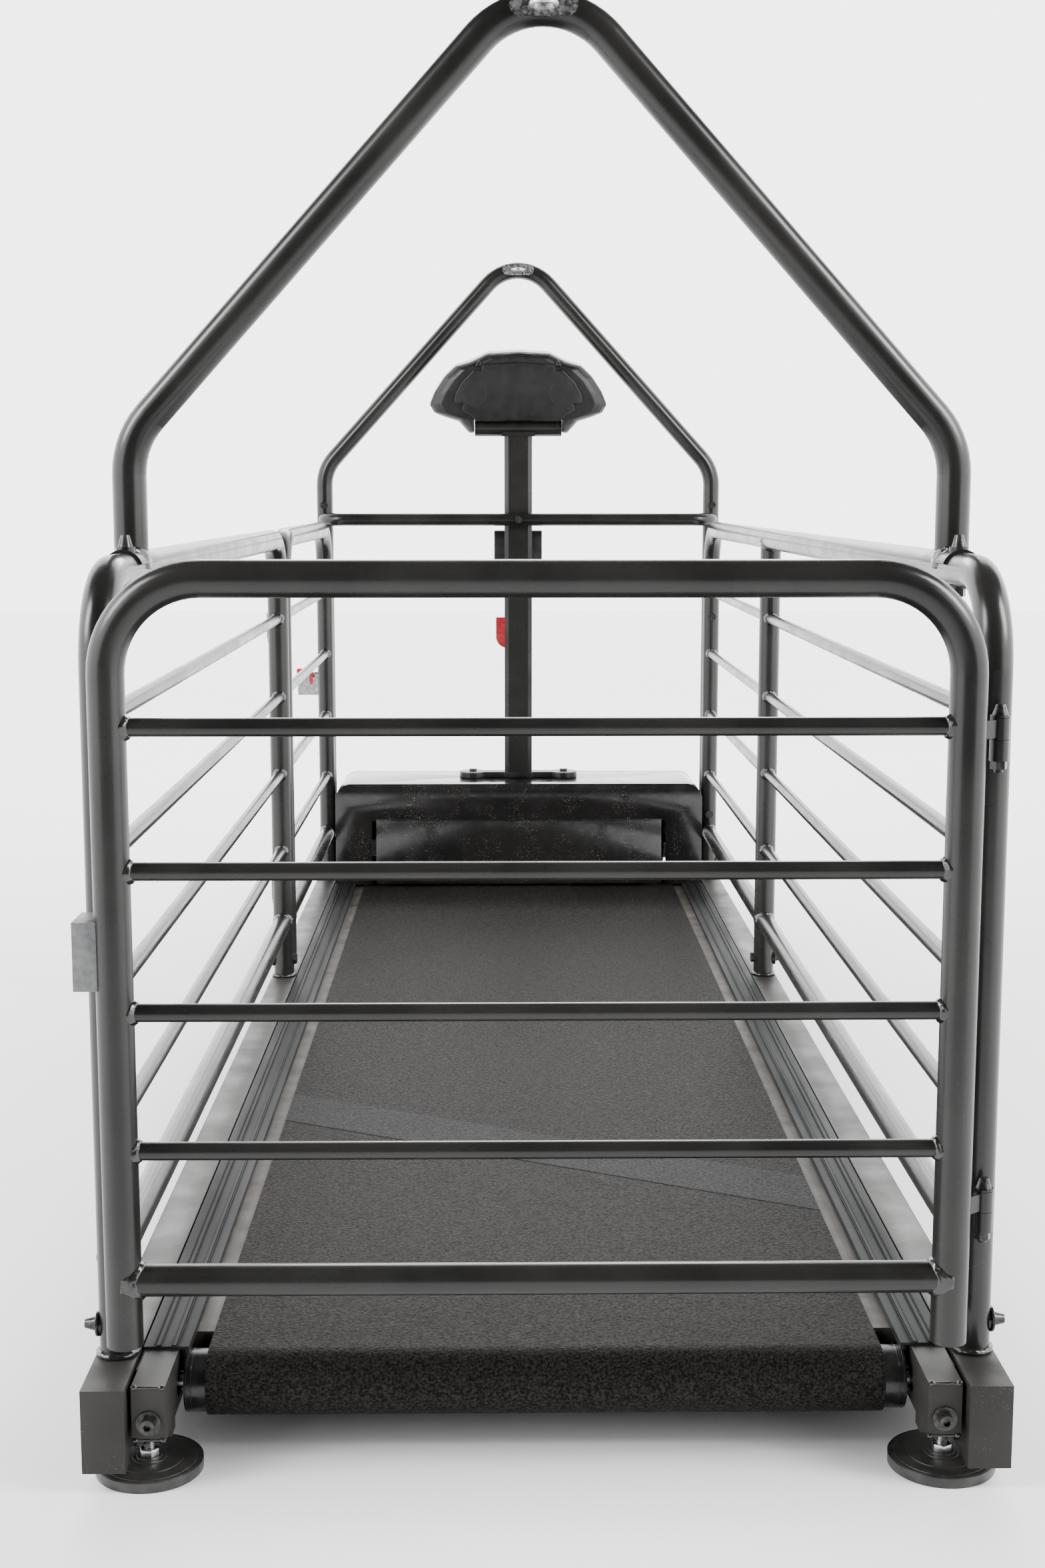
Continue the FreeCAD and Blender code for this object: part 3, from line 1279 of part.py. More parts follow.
mast_inner_corner = mast_corner - mast_wall * (2 - math.sqrt(2))
mast_stem_hole = rod(
    "Y", stop_stem + 2 * button_fit, mast_y, mast_back_y + 1,
    (-stop_stem_place, stop_floor + stop_height / 2),
)
bow_hole = rod("Y", bolt_hole, mast_y - mast_depth / 2 - 2 * bow_tube, mast_y + mast_depth, (0, bow_height))
mast_inner_width, mast_inner_depth = mast_width - 2 * mast_wall, mast_depth - 2 * mast_wall
node("console_mast", cut(
    chamfered(mast_width, mast_depth, mast_corner, base_top, mast_top),
    chamfered(mast_inner_width, mast_inner_depth, mast_inner_corner, base_top - 1, mast_top + 1),
    mast_stem_hole,
    bow_hole,
))
base_bar_block = block(
    (-base_bolt_line, base_bolt_line),
    (mast_y - base_bar / 2, mast_y + base_bar / 2),
    (hood_top, base_top),
)
base_lobes = [rod("Z", base_lobe, hood_top, base_top, (side * base_bolt_line, mast_y)) for side in (-1, 1)]
base_holes = [
    rod("Z", bolt_hole, hood_top - 1, base_top + 1, (side * base_bolt_line, mast_y)) for side in (-1, 1)
]
base_seat = block(
    (-(mast_width / 2), mast_width / 2),
    (mast_y - mast_depth / 2, mast_y + mast_depth / 2),
    (hood_top, base_top),
)
node("mast_base", cut(join(base_bar_block, base_seat, *base_lobes), *base_holes))

bow_y = mast_y - mast_depth / 2 - bow_tube / 2
bow = bent_frame(post_line, far_hoop_y - bow_y, bow_bend, bow_tube, bow_wall)
put(bow, 0, far_hoop_y, bow_height, Rotation(Vector(1, 0, 0), 90))
bow_ends = [
    rod("Z", tube, bow_height - tube, bow_height + tube, (side * post_line, far_hoop_y)) for side in (-1, 1)
]
node("handle_bow", cut(bow, *bow_ends, bow_hole))

cradle_y = (mast_back_y, mast_back_y + cradle_depth)
cradle_half = cradle_width / 2
cradle_box = block((-cradle_half, cradle_half), cradle_y, (cradle_floor, cradle_floor + cradle_height))
cradle_room = block(
    (cradle_wall - cradle_half, cradle_half - cradle_wall),
    (cradle_y[0] + cradle_wall, cradle_y[1] - cradle_wall),
    (cradle_floor + cradle_wall, cradle_floor + cradle_height + 1),
)
node("remote_cradle", cut(cradle_box, cradle_room))

paddle_y = mast_back_y + stop_travel + button_fit
paddle_round = stop_width / 2
paddle_plate = block(
    (-stop_centre - stop_width / 2, stop_width / 2 - stop_centre),
    (paddle_y, paddle_y + stop_thickness),
    (stop_floor + paddle_round, stop_floor + stop_height),
)
paddle_end = rod(
    "Y", stop_width, paddle_y, paddle_y + stop_thickness, (-stop_centre, stop_floor + paddle_round),
)
stem_across = (-stop_stem_place, stop_floor + stop_height / 2)
rim_far = mast_back_y - mast_wall - button_fit
paddle_stem = rod("Y", stop_stem, rim_far - stop_rim_thickness, paddle_y + 1, stem_across)
paddle_rim = rod("Y", stop_stem + 2 * stop_rim, rim_far - stop_rim_thickness, rim_far, stem_across)
node("stop_paddle", join(paddle_plate, paddle_end, paddle_stem, paddle_rim))

# Console, drawn upright about its hinge and then leaned back
CONSOLE_SIDE = (  # share of the half width, share of the rise
    (0.672, 0.088), (0.84, 0.15), (0.949, 0.204), (1, 0.313), (0.943, 0.476),
    (0.829, 0.68), (0.697, 0.83), (0.526, 0.891), (0.343, 1),
)
notch_half = console_barrel_half + 1
notch_top = console_barrel / 2 + console_clear
ear_half = notch_half + 2 * console_shell + 4


def console_outline():
    """The corners of the console from behind, measured from its lowest left corner."""
    side = [(notch_half, notch_top), (notch_half, -console_drop), (ear_half, -console_drop)]
    side += [(console_half * x, console_rise * z) for x, z in CONSOLE_SIDE]
    left = [(-x, z) for x, z in reversed(side)]
    return [(x + console_half, z + console_drop) for x, z in side + left]


def moved_in(corners, distance):
    """The outline moved inwards; its corners run anticlockwise."""
    points = [(float(x), float(z)) for x, z in corners]
    edges = []
    for index, (x, z) in enumerate(points):
        next_x, next_z = points[(index + 1) % len(points)]
        run, rise = next_x - x, next_z - z
        length = math.hypot(run, rise)
        edges.append((x - distance * rise / length, z + distance * run / length, run, rise))
    moved = []
    for index, (x, z, run, rise) in enumerate(edges):
        last_x, last_z, last_run, last_rise = edges[index - 1]
        across = last_run * rise - last_rise * run
        along = ((x - last_x) * rise - (z - last_z) * run) / across
        moved.append((last_x + along * last_run, last_z + along * last_rise))
    return moved


def console_slab(near, far, inset=0):
    """A plate of the console's outline between two distances from the hinge."""
    corners = [(x if float(x) else 0, z if float(z) else 0) for x, z in console_outline()]
    if inset:
        corners = moved_in(corners, float(inset))
    slab = extruded("XZ_Plane", corners, far - near)
    return put(slab, -console_half, (near + far) / 2, -console_drop)


def leaned(item):
    return put(item, 0, mast_y, console_axis, Rotation(Vector(1, 0, 0), float(console_tilt)))


hollow = cut(
    console_slab(-console_back, console_front),
    console_slab(console_shell - console_back, console_front + 1, console_shell),
)
pin_pieces = [
    rod("X", console_pin, *side_to_side(side, notch_half - console_pin_length, ear_half), (0, 0))
    for side in (-1, 1)
]
speaker_across = [(side * speaker_place, speaker_height) for side in (-1, 1)]
speaker_y = (-console_back - 1, console_shell - console_back)
speaker_holes = [
    rod("Y", speaker_diameter, speaker_y[0], speaker_y[1] + 1, place)
    for place in speaker_across
]
node("console_back_shell", leaned(cut(join(hollow, *pin_pieces), *speaker_holes)))
node("console_speakers", leaned(group(*[
    rod("Y", speaker_diameter, -console_back, console_shell - console_back, place) for place in speaker_across
])))

panel_front = console_front + panel_thickness
button_places = {
    "speed_down_button": -button_spacing,
    "start_stop_button": 0,
    "speed_up_button": button_spacing,
}
window = block(
    (-(display_width / 2), display_width / 2),
    (console_front - 1, panel_front + 1),
    (display_centre - display_height / 2, display_centre + display_height / 2),
)
key_slot = block(
    (-(key_width / 2), key_width / 2),
    (console_front - 1, panel_front + 1),
    (key_line - key_height / 2, key_line + key_height / 2),
)
button_holes = [
    rod("Y", button_diameter + 2 * button_fit, console_front - 1, panel_front + 1, (x, button_line))
    for x in button_places.values()
]
front_slab = console_slab(console_front, panel_front)
node("console_front_panel", leaned(cut(front_slab, window, key_slot, *button_holes)))
node("console_display", leaned(group(block(
    (-(display_width / 2), display_width / 2),
    (console_front, panel_front - 1),
    (display_centre - display_height / 2, display_centre + display_height / 2),
))))
for name, x in button_places.items():
    across = (x, button_line)
    rim_end = console_front - button_fit
    rim_start = rim_end - button_rim_thickness
    node(name, leaned(join(
        rod("Y", button_diameter, rim_start, panel_front + button_proud, across),
        rod("Y", button_diameter + 2 * button_rim, rim_start, rim_end, across),
    )))
key_blade = block(
    (button_fit - key_width / 2, key_width / 2 - button_fit),
    (panel_front - key_depth, panel_front + 1),
    (key_line + button_fit - key_height / 2, key_line + key_height / 2 - button_fit),
)
key_head = block(
    (-(key_width / 2), key_width / 2),
    (panel_front + button_fit, panel_front + key_grip),
    (key_line - key_height / 2, key_line + key_height / 2),
)
node("safety_key", leaned(join(key_blade, key_head)))

hinge_bar = rod("X", console_barrel, -console_barrel_half, console_barrel_half, (mast_y, console_axis))
neck_top = mast_top + neck_flange
neck = block((-neck_half, neck_half), (mast_y - neck_depth, mast_y + neck_depth), (mast_top, neck_top))
plug = rod("Z", neck_plug, mast_top - neck_plug_length, neck_top, (0, mast_y))
hinge_bore = rod("X", console_pin + 2 * pin_fit, -console_half, console_half, (mast_y, console_axis))
node("console_hinge", cut(join(hinge_bar, neck, plug), hinge_bore))

# Catch on the gate
catch_far = near_post_y - tube_radius - catch_gap
catch_near_y = gate_y - catch_near
catch_low, catch_high = catch_centre - catch_height / 2, catch_centre + catch_height / 2
gate_left_post = post_solid(gate_left_x, gate_y)
catch_box = block((-catch_outer, -catch_inner), (catch_near_y, catch_far), (catch_low, catch_high))
catch_room = block(
    (catch_wall - catch_outer, 1 - catch_inner),
    (catch_near_y + catch_wall, catch_far - catch_wall),
    (catch_low + catch_wall, catch_high - catch_wall),
)
node("gate_catch", cut(catch_box, catch_room, gate_left_post))
magnet_far = catch_far - catch_wall
node("gate_magnet", group(block(
    (catch_wall - catch_outer, -catch_inner),
    (magnet_far - magnet_thickness, magnet_far),
    (catch_centre - magnet_height / 2, catch_centre + magnet_height / 2),
)))

# Clamp that keeps the side door shut: the arm turns down in front of the door's far leg
clamp_back = far_hoop_y + clamp_plate_back
clamp_front = clamp_back - clamp_plate
clamp_pivot_y = far_hoop_y - clamp_pivot
arm_z = clamp_height - clamp_arm_drop
handle_z = clamp_height + clamp_handle_rise


def outward(low, high):
    """A stretch of X on the left side, as distances beyond the post line."""
    return side_to_side(-1, post_line + low, post_line + high)


clamp_backing = block(
    outward(tube_radius / 2, tube_radius + clamp_reach),
    (clamp_front, clamp_back),
    (clamp_height - clamp_plate_height / 2, clamp_height + clamp_plate_height / 2),
)
lug = block(
    outward(clamp_lug_out, clamp_lug_out + clamp_lug),
    (clamp_pivot_y - clamp_eye / 2, clamp_front),
    (clamp_height - clamp_lug_height / 2, clamp_height + clamp_lug_height / 2),
)
arm_span = (clamp_lug_out - clamp_play - clamp_lever, clamp_lug_out - clamp_play)
handle_start = clamp_lug_out + clamp_lug + clamp_play
handle_span = (handle_start, handle_start + clamp_lever)
arm_pin_end = arm_span[0] - clamp_play
handle_pin_end = handle_span[1] + clamp_play
arm_head_end = arm_pin_end - clamp_pin_head_height
handle_head_end = handle_pin_end + clamp_pin_head_height
arm_across, handle_across = (clamp_pivot_y, arm_z), (clamp_pivot_y, handle_z)
clamp_pins = [
    rod("X", clamp_pin, *outward(arm_head_end, clamp_lug_out + 1), arm_across),
    rod("X", clamp_pin_head, *outward(arm_head_end, arm_pin_end), arm_across),
    rod("X", clamp_pin, *outward(handle_start - clamp_play - 1, handle_head_end), handle_across),
    rod("X", clamp_pin_head, *outward(handle_pin_end, handle_head_end), handle_across),
]
hoop_leg = post_solid(-post_line, far_hoop_y)
node("clamp_base", join(cut(clamp_backing, hoop_leg), lug, *clamp_pins))


def lever(span, z, length):
    """An upright bar with round ends, bored for its pin at the lower one."""
    ends = [rod("X", clamp_eye, *outward(*span), (clamp_pivot_y, place)) for place in (z, z + length)]
    half = clamp_eye / 2
    bar = block(outward(*span), (clamp_pivot_y - half, clamp_pivot_y + half), (z, z + length))
    bore = rod("X", clamp_pin + 2 * bearing_fit, *outward(span[0] - 1, span[1] + 1), (clamp_pivot_y, z))
    return join(bar, *ends), bore


arm_bar, arm_bore = lever(arm_span, arm_z, clamp_arm_length - clamp_eye / 2)
node("clamp_arm", cut(arm_bar, arm_bore))
handle_bar, handle_bore = lever(handle_span, handle_z, clamp_handle_length)
grip = rod("X", clamp_eye, *outward(handle_span[0], handle_span[1] + clamp_grip_reach),
           (clamp_pivot_y, handle_z + clamp_handle_length))
node("clamp_handle", join(cut(handle_bar, handle_bore), grip))

# Bolts and nuts
bolts, cap_nuts, hex_nuts = [], [], []


def coped(item, round_solid):
    """Cuts a head or flange so that it sits on a round tube."""
    return cut(item, round_solid)


def post_bolt(side, y):
    """A bolt through a post with its cap nut on the outer side."""
    across = (y, post_bolt_height)
    seat = tube_radius + washer_thickness

    def reach(low, high):
        return side_to_side(side, post_line + low, post_line + high)

    shank = rod("X", pin, *reach(-tube_radius - 1, seat + cap_bore), across)
    head = rod("X", button_head, *reach(-tube_radius - button_height, -tube_radius / 2), across)
    post = post_solid(side * post_line, y)
    bolts.append(join(shank, coped(head, post)))
    flange = rod("X", nut_flange, *reach(tube_radius / 2, seat), across)
    low, high = reach(seat, seat + cap_height)
    diameters = (cap_base, cap_top) if side > 0 else (cap_top, cap_base)
    crown = taper("X", *diameters, low, high - low, across)
    bore = rod("X", pin, *reach(0, seat + cap_bore), across)
    cap_nuts.append(cut(join(coped(flange, post), crown), bore))


for side, stations in ((-1, left_stations), (1, right_stations)):
    for y in stations:
        post_bolt(side, y)


def saddle_bolt(side, y):
    """A stud through the saddle plate and the top rail."""
    across = (side * post_line, y)
    top = cage_rail_height + saddle_outside / 2 + washer_thickness
    bottom = cage_rail_height - tube_radius - washer_thickness
    bolts.append(rod("Z", pin, bottom - nut_height - saddle_thread, top + cap_bore, across))
    over = rod("Y", saddle_outside, y - tube, y + tube, (side * post_line, cage_rail_height))
    under = rod("Y", tube, y - tube, y + tube, (side * post_line, cage_rail_height))
    flange = rod("Z", nut_flange, cage_rail_height, top, across)
    crown = taper("Z", cap_base, cap_top, top, cap_height, across)
    cap = rod("Z", pin, cage_rail_height, top + cap_bore, across)
    cap_nuts.append(cut(join(coped(flange, over), crown), cap))
    lower_flange = rod("Z", nut_flange, bottom, cage_rail_height, across)
    nut = hexagon("Z", nut_flats, bottom - nut_height, nut_height, across)
    bore = rod("Z", pin, bottom - nut_height - 1, cage_rail_height, across)
    hex_nuts.append(cut(join(coped(lower_flange, under), nut), bore))


for side in (-1, 1):
    for y in saddle_bolt_places:
        saddle_bolt(side, y)


def hinge_bolt(x, y, split):
    """A hinge bolt with a nut under the lower barrel and a cap nut over the upper one."""
    across = (x, y)
    low = split - barrel_split / 2 - barrel_height
    high = split + barrel_split / 2 + barrel_height + catch_gap
    bolts.append(rod("Z", pin, low - nut_height - hinge_thread, high + cap_bore, across))
    washer = rod("Z", barrel, high, high + washer_thickness, across)
    crown = taper("Z", cap_base, cap_top, high + washer_thickness, cap_height - washer_thickness, across)
    cap_nuts.append(cut(join(washer, crown), rod("Z", pin, high - 1, high + cap_bore, across)))
    nut = hexagon("Z", nut_flats, low - nut_height, nut_height, across)
    hex_nuts.append(cut(nut, rod("Z", pin, low - nut_height - 1, low + 1, across)))


for split in (hinge_high, hinge_low):
    hinge_bolt(gate_pin_x, gate_pin_y, split)
    hinge_bolt(door_pin_x, door_pin_y, split)


def leg_bolt(x, first_y, z):
    """A bolt along Y, its head on the tube at first_y and its nut behind the far hoop leg."""
    across = (x, z)
    seat = far_hoop_y + tube_radius + washer_thickness
    shank = rod("Y", pin, first_y - tube_radius - 1, seat + nut_height + hinge_thread, across)
    head = rod("Y", button_head, first_y - tube_radius - button_height, first_y - tube_radius / 2, across)
    bolts.append(join(shank, coped(head, post_tall(x, first_y))))
    flange = rod("Y", nut_flange, far_hoop_y + tube_radius / 2, seat, across)
    nut = hexagon("Y", nut_flats, seat, nut_height, across)
    bore = rod("Y", pin, far_hoop_y, seat + nut_height + 1, across)
    hex_nuts.append(cut(join(coped(flange, post_tall(x, far_hoop_y)), nut), bore))


def post_tall(x, y):
    return rod("Z", tube, channel_clearance, hoop_vertex, (x, y))


for z in (panel_bolt_high, panel_bolt_low):
    leg_bolt(post_line, far_leg_y, z)
for side in (-1, 1):
    leg_bolt(side * post_line, far_hoop_y, hoop_bolt_height)

for side in (-1, 1):
    across = (side * base_bolt_line, mast_y)
    beam_bottom = bridge_top - bridge_beam_height
    bolts.append(join(
        rod("Z", pin, beam_bottom - nut_height - hinge_thread, base_top + 1, across),
        rod("Z", button_head, base_top, base_top + button_height, across),
    ))
    nut = hexagon("Z", nut_flats, beam_bottom - nut_height, nut_height, across)
    hex_nuts.append(cut(nut, rod("Z", pin, beam_bottom - nut_height - 1, beam_bottom + 1, across)))

across = (0, bow_height)
bow_front = bow_y - bow_tube / 2
bow_head = rod("Y", button_head, bow_front - button_height, bow_y - bow_tube / 4, across)
bow_solid = rod("X", bow_tube, -button_head, button_head, (bow_y, bow_height))
bolts.append(join(
    rod("Y", pin, bow_front - 1, mast_back_y + nut_height + hinge_thread, across),
    coped(bow_head, bow_solid),
))
bow_nut = hexagon("Y", nut_flats, mast_back_y, nut_height, across)
hex_nuts.append(cut(bow_nut, rod("Y", pin, mast_back_y - 1, mast_back_y + nut_height + 1, across)))

node("frame_bolts", group(*bolts))
node("cap_nuts", group(*cap_nuts))
node("hex_nuts", group(*hex_nuts))

doc.recompute()
for item in doc.Objects:
    if "Invalid" in item.State or "Error" in item.State:
        raise RuntimeError(f"{item.Label} did not build: {item.State}")
os.makedirs("parts", exist_ok=True)
for name, item in nodes.items():
    shape = item.Shape
    if shape.isNull() or not shape.isValid() or not shape.Solids:
        raise RuntimeError(f"{name} has no valid solid")
    shape.exportStep(f"parts/{name}.step")
print(len(nodes), "sub-parts written")
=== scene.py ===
# %% [markdown]
# # A dog treadmill, dressed piece by piece
# The steel base, the tube cage and the moving pieces come ready from the CAD model.
# This lesson gives each of them a finish, and models what the CAD model
# keeps plain: welds, rubber feet, washers, the console's moulded shell and small trim.
# Everything is in metres, X across the belt, Y along it, Z up.

# %% Load the frame
import math

import bpy
from mathutils import Matrix, Vector


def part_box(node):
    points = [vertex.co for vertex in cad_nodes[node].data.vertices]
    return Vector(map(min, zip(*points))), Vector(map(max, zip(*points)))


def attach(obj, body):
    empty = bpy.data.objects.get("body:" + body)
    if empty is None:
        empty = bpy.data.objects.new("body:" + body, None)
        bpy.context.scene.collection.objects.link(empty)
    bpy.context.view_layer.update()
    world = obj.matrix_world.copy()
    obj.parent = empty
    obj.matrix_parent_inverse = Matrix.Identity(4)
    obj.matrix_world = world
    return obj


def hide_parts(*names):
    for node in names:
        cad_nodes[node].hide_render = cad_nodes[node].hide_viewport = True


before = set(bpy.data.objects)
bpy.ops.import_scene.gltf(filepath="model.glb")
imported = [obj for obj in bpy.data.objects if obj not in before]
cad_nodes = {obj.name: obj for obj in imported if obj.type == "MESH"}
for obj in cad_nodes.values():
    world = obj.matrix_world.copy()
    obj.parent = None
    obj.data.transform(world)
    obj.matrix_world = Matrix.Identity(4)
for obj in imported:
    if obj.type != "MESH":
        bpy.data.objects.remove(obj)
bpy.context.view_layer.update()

print(len(cad_nodes), "CAD nodes loaded")

# %% [markdown]
# ## The camera
# The photograph is taken from the gate end, at about chest height, looking slightly
# down. A long lens keeps the two hoops nearly alike in slope. The lens is given for the
# picture's width, so the sensor is fitted across.

# %% The camera
camera_data = bpy.data.cameras.new("camera")
camera_data.sensor_fit = "HORIZONTAL"
camera_data.sensor_width = 36.0
camera_data.lens = 68.3
camera_data.clip_end = 60.0
camera = bpy.data.objects.new("camera", camera_data)
bpy.context.scene.collection.objects.link(camera)
camera.location = (-0.0434, -2.9117, 0.8643)
look_down = math.radians(8.31)
look_right = math.radians(0.745)
camera.rotation_euler = (math.pi / 2 - look_down, 0.0, -look_right)
bpy.context.scene.camera = camera

# %% [markdown]
# ## Selecting and finishing by code
# By hand, one clicks on a piece before working on it. In a script the same step is to
# put everything down, pick one piece up, and apply its place to its mesh when it is
# done, so that every finished piece sits at the origin like the CAD nodes.

# %% Helpers for picking pieces
TURNS = {"X": (0.0, math.pi / 2, 0.0), "Y": (math.pi / 2, 0.0, 0.0), "Z": (0.0, 0.0, 0.0)}


def put_down():
    """Leaves edit mode and deselects everything."""
    if bpy.context.object and bpy.context.object.mode != "OBJECT":
        bpy.ops.object.mode_set(mode="OBJECT")
    bpy.ops.object.select_all(action="DESELECT")


def pick(piece):
    """Makes one piece the only selected and active object."""
    put_down()
    piece.select_set(True)
    bpy.context.view_layer.objects.active = piece


def settle(piece, name):
    """Applies a piece's place, turn and size to its mesh and names it."""
    pick(piece)
    bpy.ops.object.transform_apply(location=True, rotation=True, scale=True)
    piece.name = name
    piece.data.name = name
    return piece


def joined(pieces, name):
    """Joins several pieces to one."""
    put_down()
    for piece in pieces:
        piece.select_set(True)
    bpy.context.view_layer.objects.active = pieces[0]
    if len(pieces) > 1:
        bpy.ops.object.join()
    return settle(bpy.context.view_layer.objects.active, name)


def copied(piece, place=(0.0, 0.0, 0.0), turn=(0.0, 0.0, 0.0), stretch=(1.0, 1.0, 1.0)):
    """A copy with its own mesh, turned about the origin and then moved."""
    twin = piece.copy()
    twin.data = piece.data.copy()
    bpy.context.scene.collection.objects.link(twin)
    twin.rotation_euler = turn
    twin.scale = stretch
    twin.location = place
    return settle(twin, piece.name + "_copy")


def removed(piece):
    bpy.data.objects.remove(piece, do_unlink=True)


def modified(piece, kind, **settings):
    """Adds a modifier, sets it and applies it."""
    pick(piece)
    modifier = piece.modifiers.new(kind.lower(), kind)
    for setting, amount in settings.items():
        setattr(modifier, setting, amount)
    bpy.ops.object.modifier_apply(modifier=modifier.name)
    return piece


def smooth(piece, angle=35):
    pick(piece)
    bpy.ops.object.shade_smooth_by_angle(angle=math.radians(angle))
    return piece


def softened(piece, width, segments=3, angle=30):
    """Rounds the sharp edges."""
    modified(piece, "BEVEL", width=width, segments=segments, limit_method="ANGLE",
             angle_limit=math.radians(angle))
    return smooth(piece)


def cylinder(name, radius, length, place, axis="Z", sides=48):
    put_down()
    bpy.ops.mesh.primitive_cylinder_add(
        vertices=sides, radius=radius, depth=length, location=place, rotation=TURNS[axis])
    return settle(bpy.context.object, name)


def stepped(piece, facing, steps):
    """Insets the end face that points one way again and again, each time moved out or in."""
    pick(piece)
    facing = Vector(facing)
    bpy.ops.object.mode_set(mode="EDIT")
    bpy.ops.mesh.select_mode(type="FACE")
    bpy.ops.mesh.select_all(action="DESELECT")
    bpy.ops.object.mode_set(mode="OBJECT")
    flat = [face for face in piece.data.polygons if face.normal.dot(facing) > 0.99]
    furthest = max(face.center.dot(facing) for face in flat)
    for face in flat:
        face.select = face.center.dot(facing) > furthest - 0.00002
    bpy.ops.object.mode_set(mode="EDIT")
    for inward, outward in steps:
        if inward:
            bpy.ops.mesh.inset(thickness=inward, depth=0.0)
        if outward:
            shift = facing * outward
            bpy.ops.mesh.extrude_region_move(TRANSFORM_OT_translate={"value": shift})
    bpy.ops.object.mode_set(mode="OBJECT")
    return piece


# %% [markdown]
# ## Floor and light
# Black powder coat shows almost only what it reflects. The room is white at the far end
# and at both sides, so the tubes get pale edges. It is dark behind the camera and above,
# which is what the middle of each tube mirrors.

# %% Floor and dark screens


def stage_plane(name, place, size, turn=(0.0, 0.0, 0.0)):
    """A flat board of the studio."""
    put_down()
    bpy.ops.mesh.primitive_plane_add(size=1.0, location=place, rotation=turn)
    board = bpy.context.object
    board.scale = (*size, 1.0)
    settle(board, name)
    return board


def unseen(board):
    """Keeps a board in reflections but out of the picture."""
    board.visible_camera = False
    return board


floor = stage_plane("studio_floor", (0.0, 0.0, 0.0), (24.0, 24.0))
screens = [
    unseen(stage_plane("screen_behind", (0.0, -5.4, 1.7), (7.0, 3.4), (math.pi / 2, 0.0, 0.0))),
    unseen(stage_plane("screen_above", (0.0, -1.9, 3.4), (7.0, 7.0))),
]

# %% Soft lights


def softbox(name, place, aim, size, power):
    """A rectangular area light that faces the point it aims at."""
    light = bpy.data.lights.new(name, "AREA")
    light.shape = "RECTANGLE"
    light.size, light.size_y = size
    light.energy = power
    lamp = bpy.data.objects.new(name, light)
    bpy.context.scene.collection.objects.link(lamp)
    lamp.location = place
    lamp.rotation_euler = (Vector(aim) - Vector(place)).to_track_quat("-Z", "Y").to_euler()
    return lamp


softbox("light_left", (-2.6, -1.9, 2.5), (0.0, -0.4, 0.2), (1.0, 1.6), 130.0)
softbox("light_right", (2.6, -1.9, 2.5), (0.0, -0.4, 0.2), (1.0, 1.6), 150.0)
softbox("light_far", (0.0, 3.4, 2.8), (0.0, 0.6, 0.4), (2.4, 1.0), 110.0)

world = bpy.data.worlds.new("studio")
bpy.context.scene.world = world
world.use_nodes = True
sky = world.node_tree.nodes["Background"]
sky.inputs["Color"].default_value = (1.0, 1.0, 1.0, 1.0)
sky.inputs["Strength"].default_value = 4.5
print("studio lit by 3 soft lights and a white room")

# %% [markdown]
# ## Finishes
# Each finish is a Principled shader with patterns in Object coordinates, so a pattern
# stays fixed to the metal. A few helpers cover them all: one starts a finish, one
# mottles its colour, one varies its gloss, one raises its surface, and one dusts it.

# %% Helpers for finishes


def new_finish(name, colour, roughness, metallic=0.0, coat=0.0, specular=0.5):
    """Starts a material with a Principled shader."""
    finish = bpy.data.materials.new(name)
    finish.use_nodes = True
    shader = finish.node_tree.nodes["Principled BSDF"]
    shader.inputs["Base Color"].default_value = (*colour, 1.0)
    shader.inputs["Roughness"].default_value = roughness
    shader.inputs["Metallic"].default_value = metallic
    shader.inputs["Coat Weight"].default_value = coat
    shader.inputs["Coat Roughness"].default_value = 0.12
    shader.inputs["Specular IOR Level"].default_value = specular
    return finish


def shader_of(finish):
    return finish.node_tree.nodes["Principled BSDF"]


def place_of(finish, stretch=(1.0, 1.0, 1.0), turn=(0.0, 0.0, 0.0)):
    """Object coordinates, stretched along each axis and turned."""
    tree = finish.node_tree
    coordinates = tree.nodes.new("ShaderNodeTexCoord")
    mapping = tree.nodes.new("ShaderNodeMapping")
    mapping.inputs["Scale"].default_value = stretch
    mapping.inputs["Rotation"].default_value = turn
    tree.links.new(coordinates.outputs["Object"], mapping.inputs["Vector"])
    return mapping.outputs["Vector"]


def noise(finish, per_metre, detail=3.0, stretch=(1.0, 1.0, 1.0)):
    tree = finish.node_tree
    pattern = tree.nodes.new("ShaderNodeTexNoise")
    pattern.inputs["Scale"].default_value = per_metre
    pattern.inputs["Detail"].default_value = detail
    tree.links.new(place_of(finish, stretch), pattern.inputs["Vector"])
    return pattern.outputs["Fac"]


def banded(finish, value, low, high, from_low=0.35, from_high=0.65):
    """Maps a pattern's range to two values."""
    tree = finish.node_tree
    spread = tree.nodes.new("ShaderNodeMapRange")
    spread.inputs["From Min"].default_value = from_low
    spread.inputs["From Max"].default_value = from_high
    spread.inputs["To Min"].default_value = low
    spread.inputs["To Max"].default_value = high
    tree.links.new(value, spread.inputs["Value"])
    return spread.outputs["Result"]


def maths(finish, operation, first, second=None, third=None):
    """One step of arithmetic on sockets or numbers."""
    tree = finish.node_tree
    step = tree.nodes.new("ShaderNodeMath")
    step.operation = operation
    for socket, value in zip(step.inputs, (first, second, third)):
        if value is None:
            continue
        if isinstance(value, (int, float)):
            socket.default_value = value
        else:
            tree.links.new(value, socket)
    return step.outputs["Value"]


def mottle(finish, value, dark, light, stops=(0.35, 0.65)):
    """Runs the base colour between two tones by a pattern."""
    tree = finish.node_tree
    ramp = tree.nodes.new("ShaderNodeValToRGB")
    for element, stop, tone in zip(ramp.color_ramp.elements, stops, (dark, light)):
        element.position = stop
        element.color = (*tone, 1.0)
    tree.links.new(value, ramp.inputs["Fac"])
    tree.links.new(ramp.outputs["Color"], shader_of(finish).inputs["Base Color"])


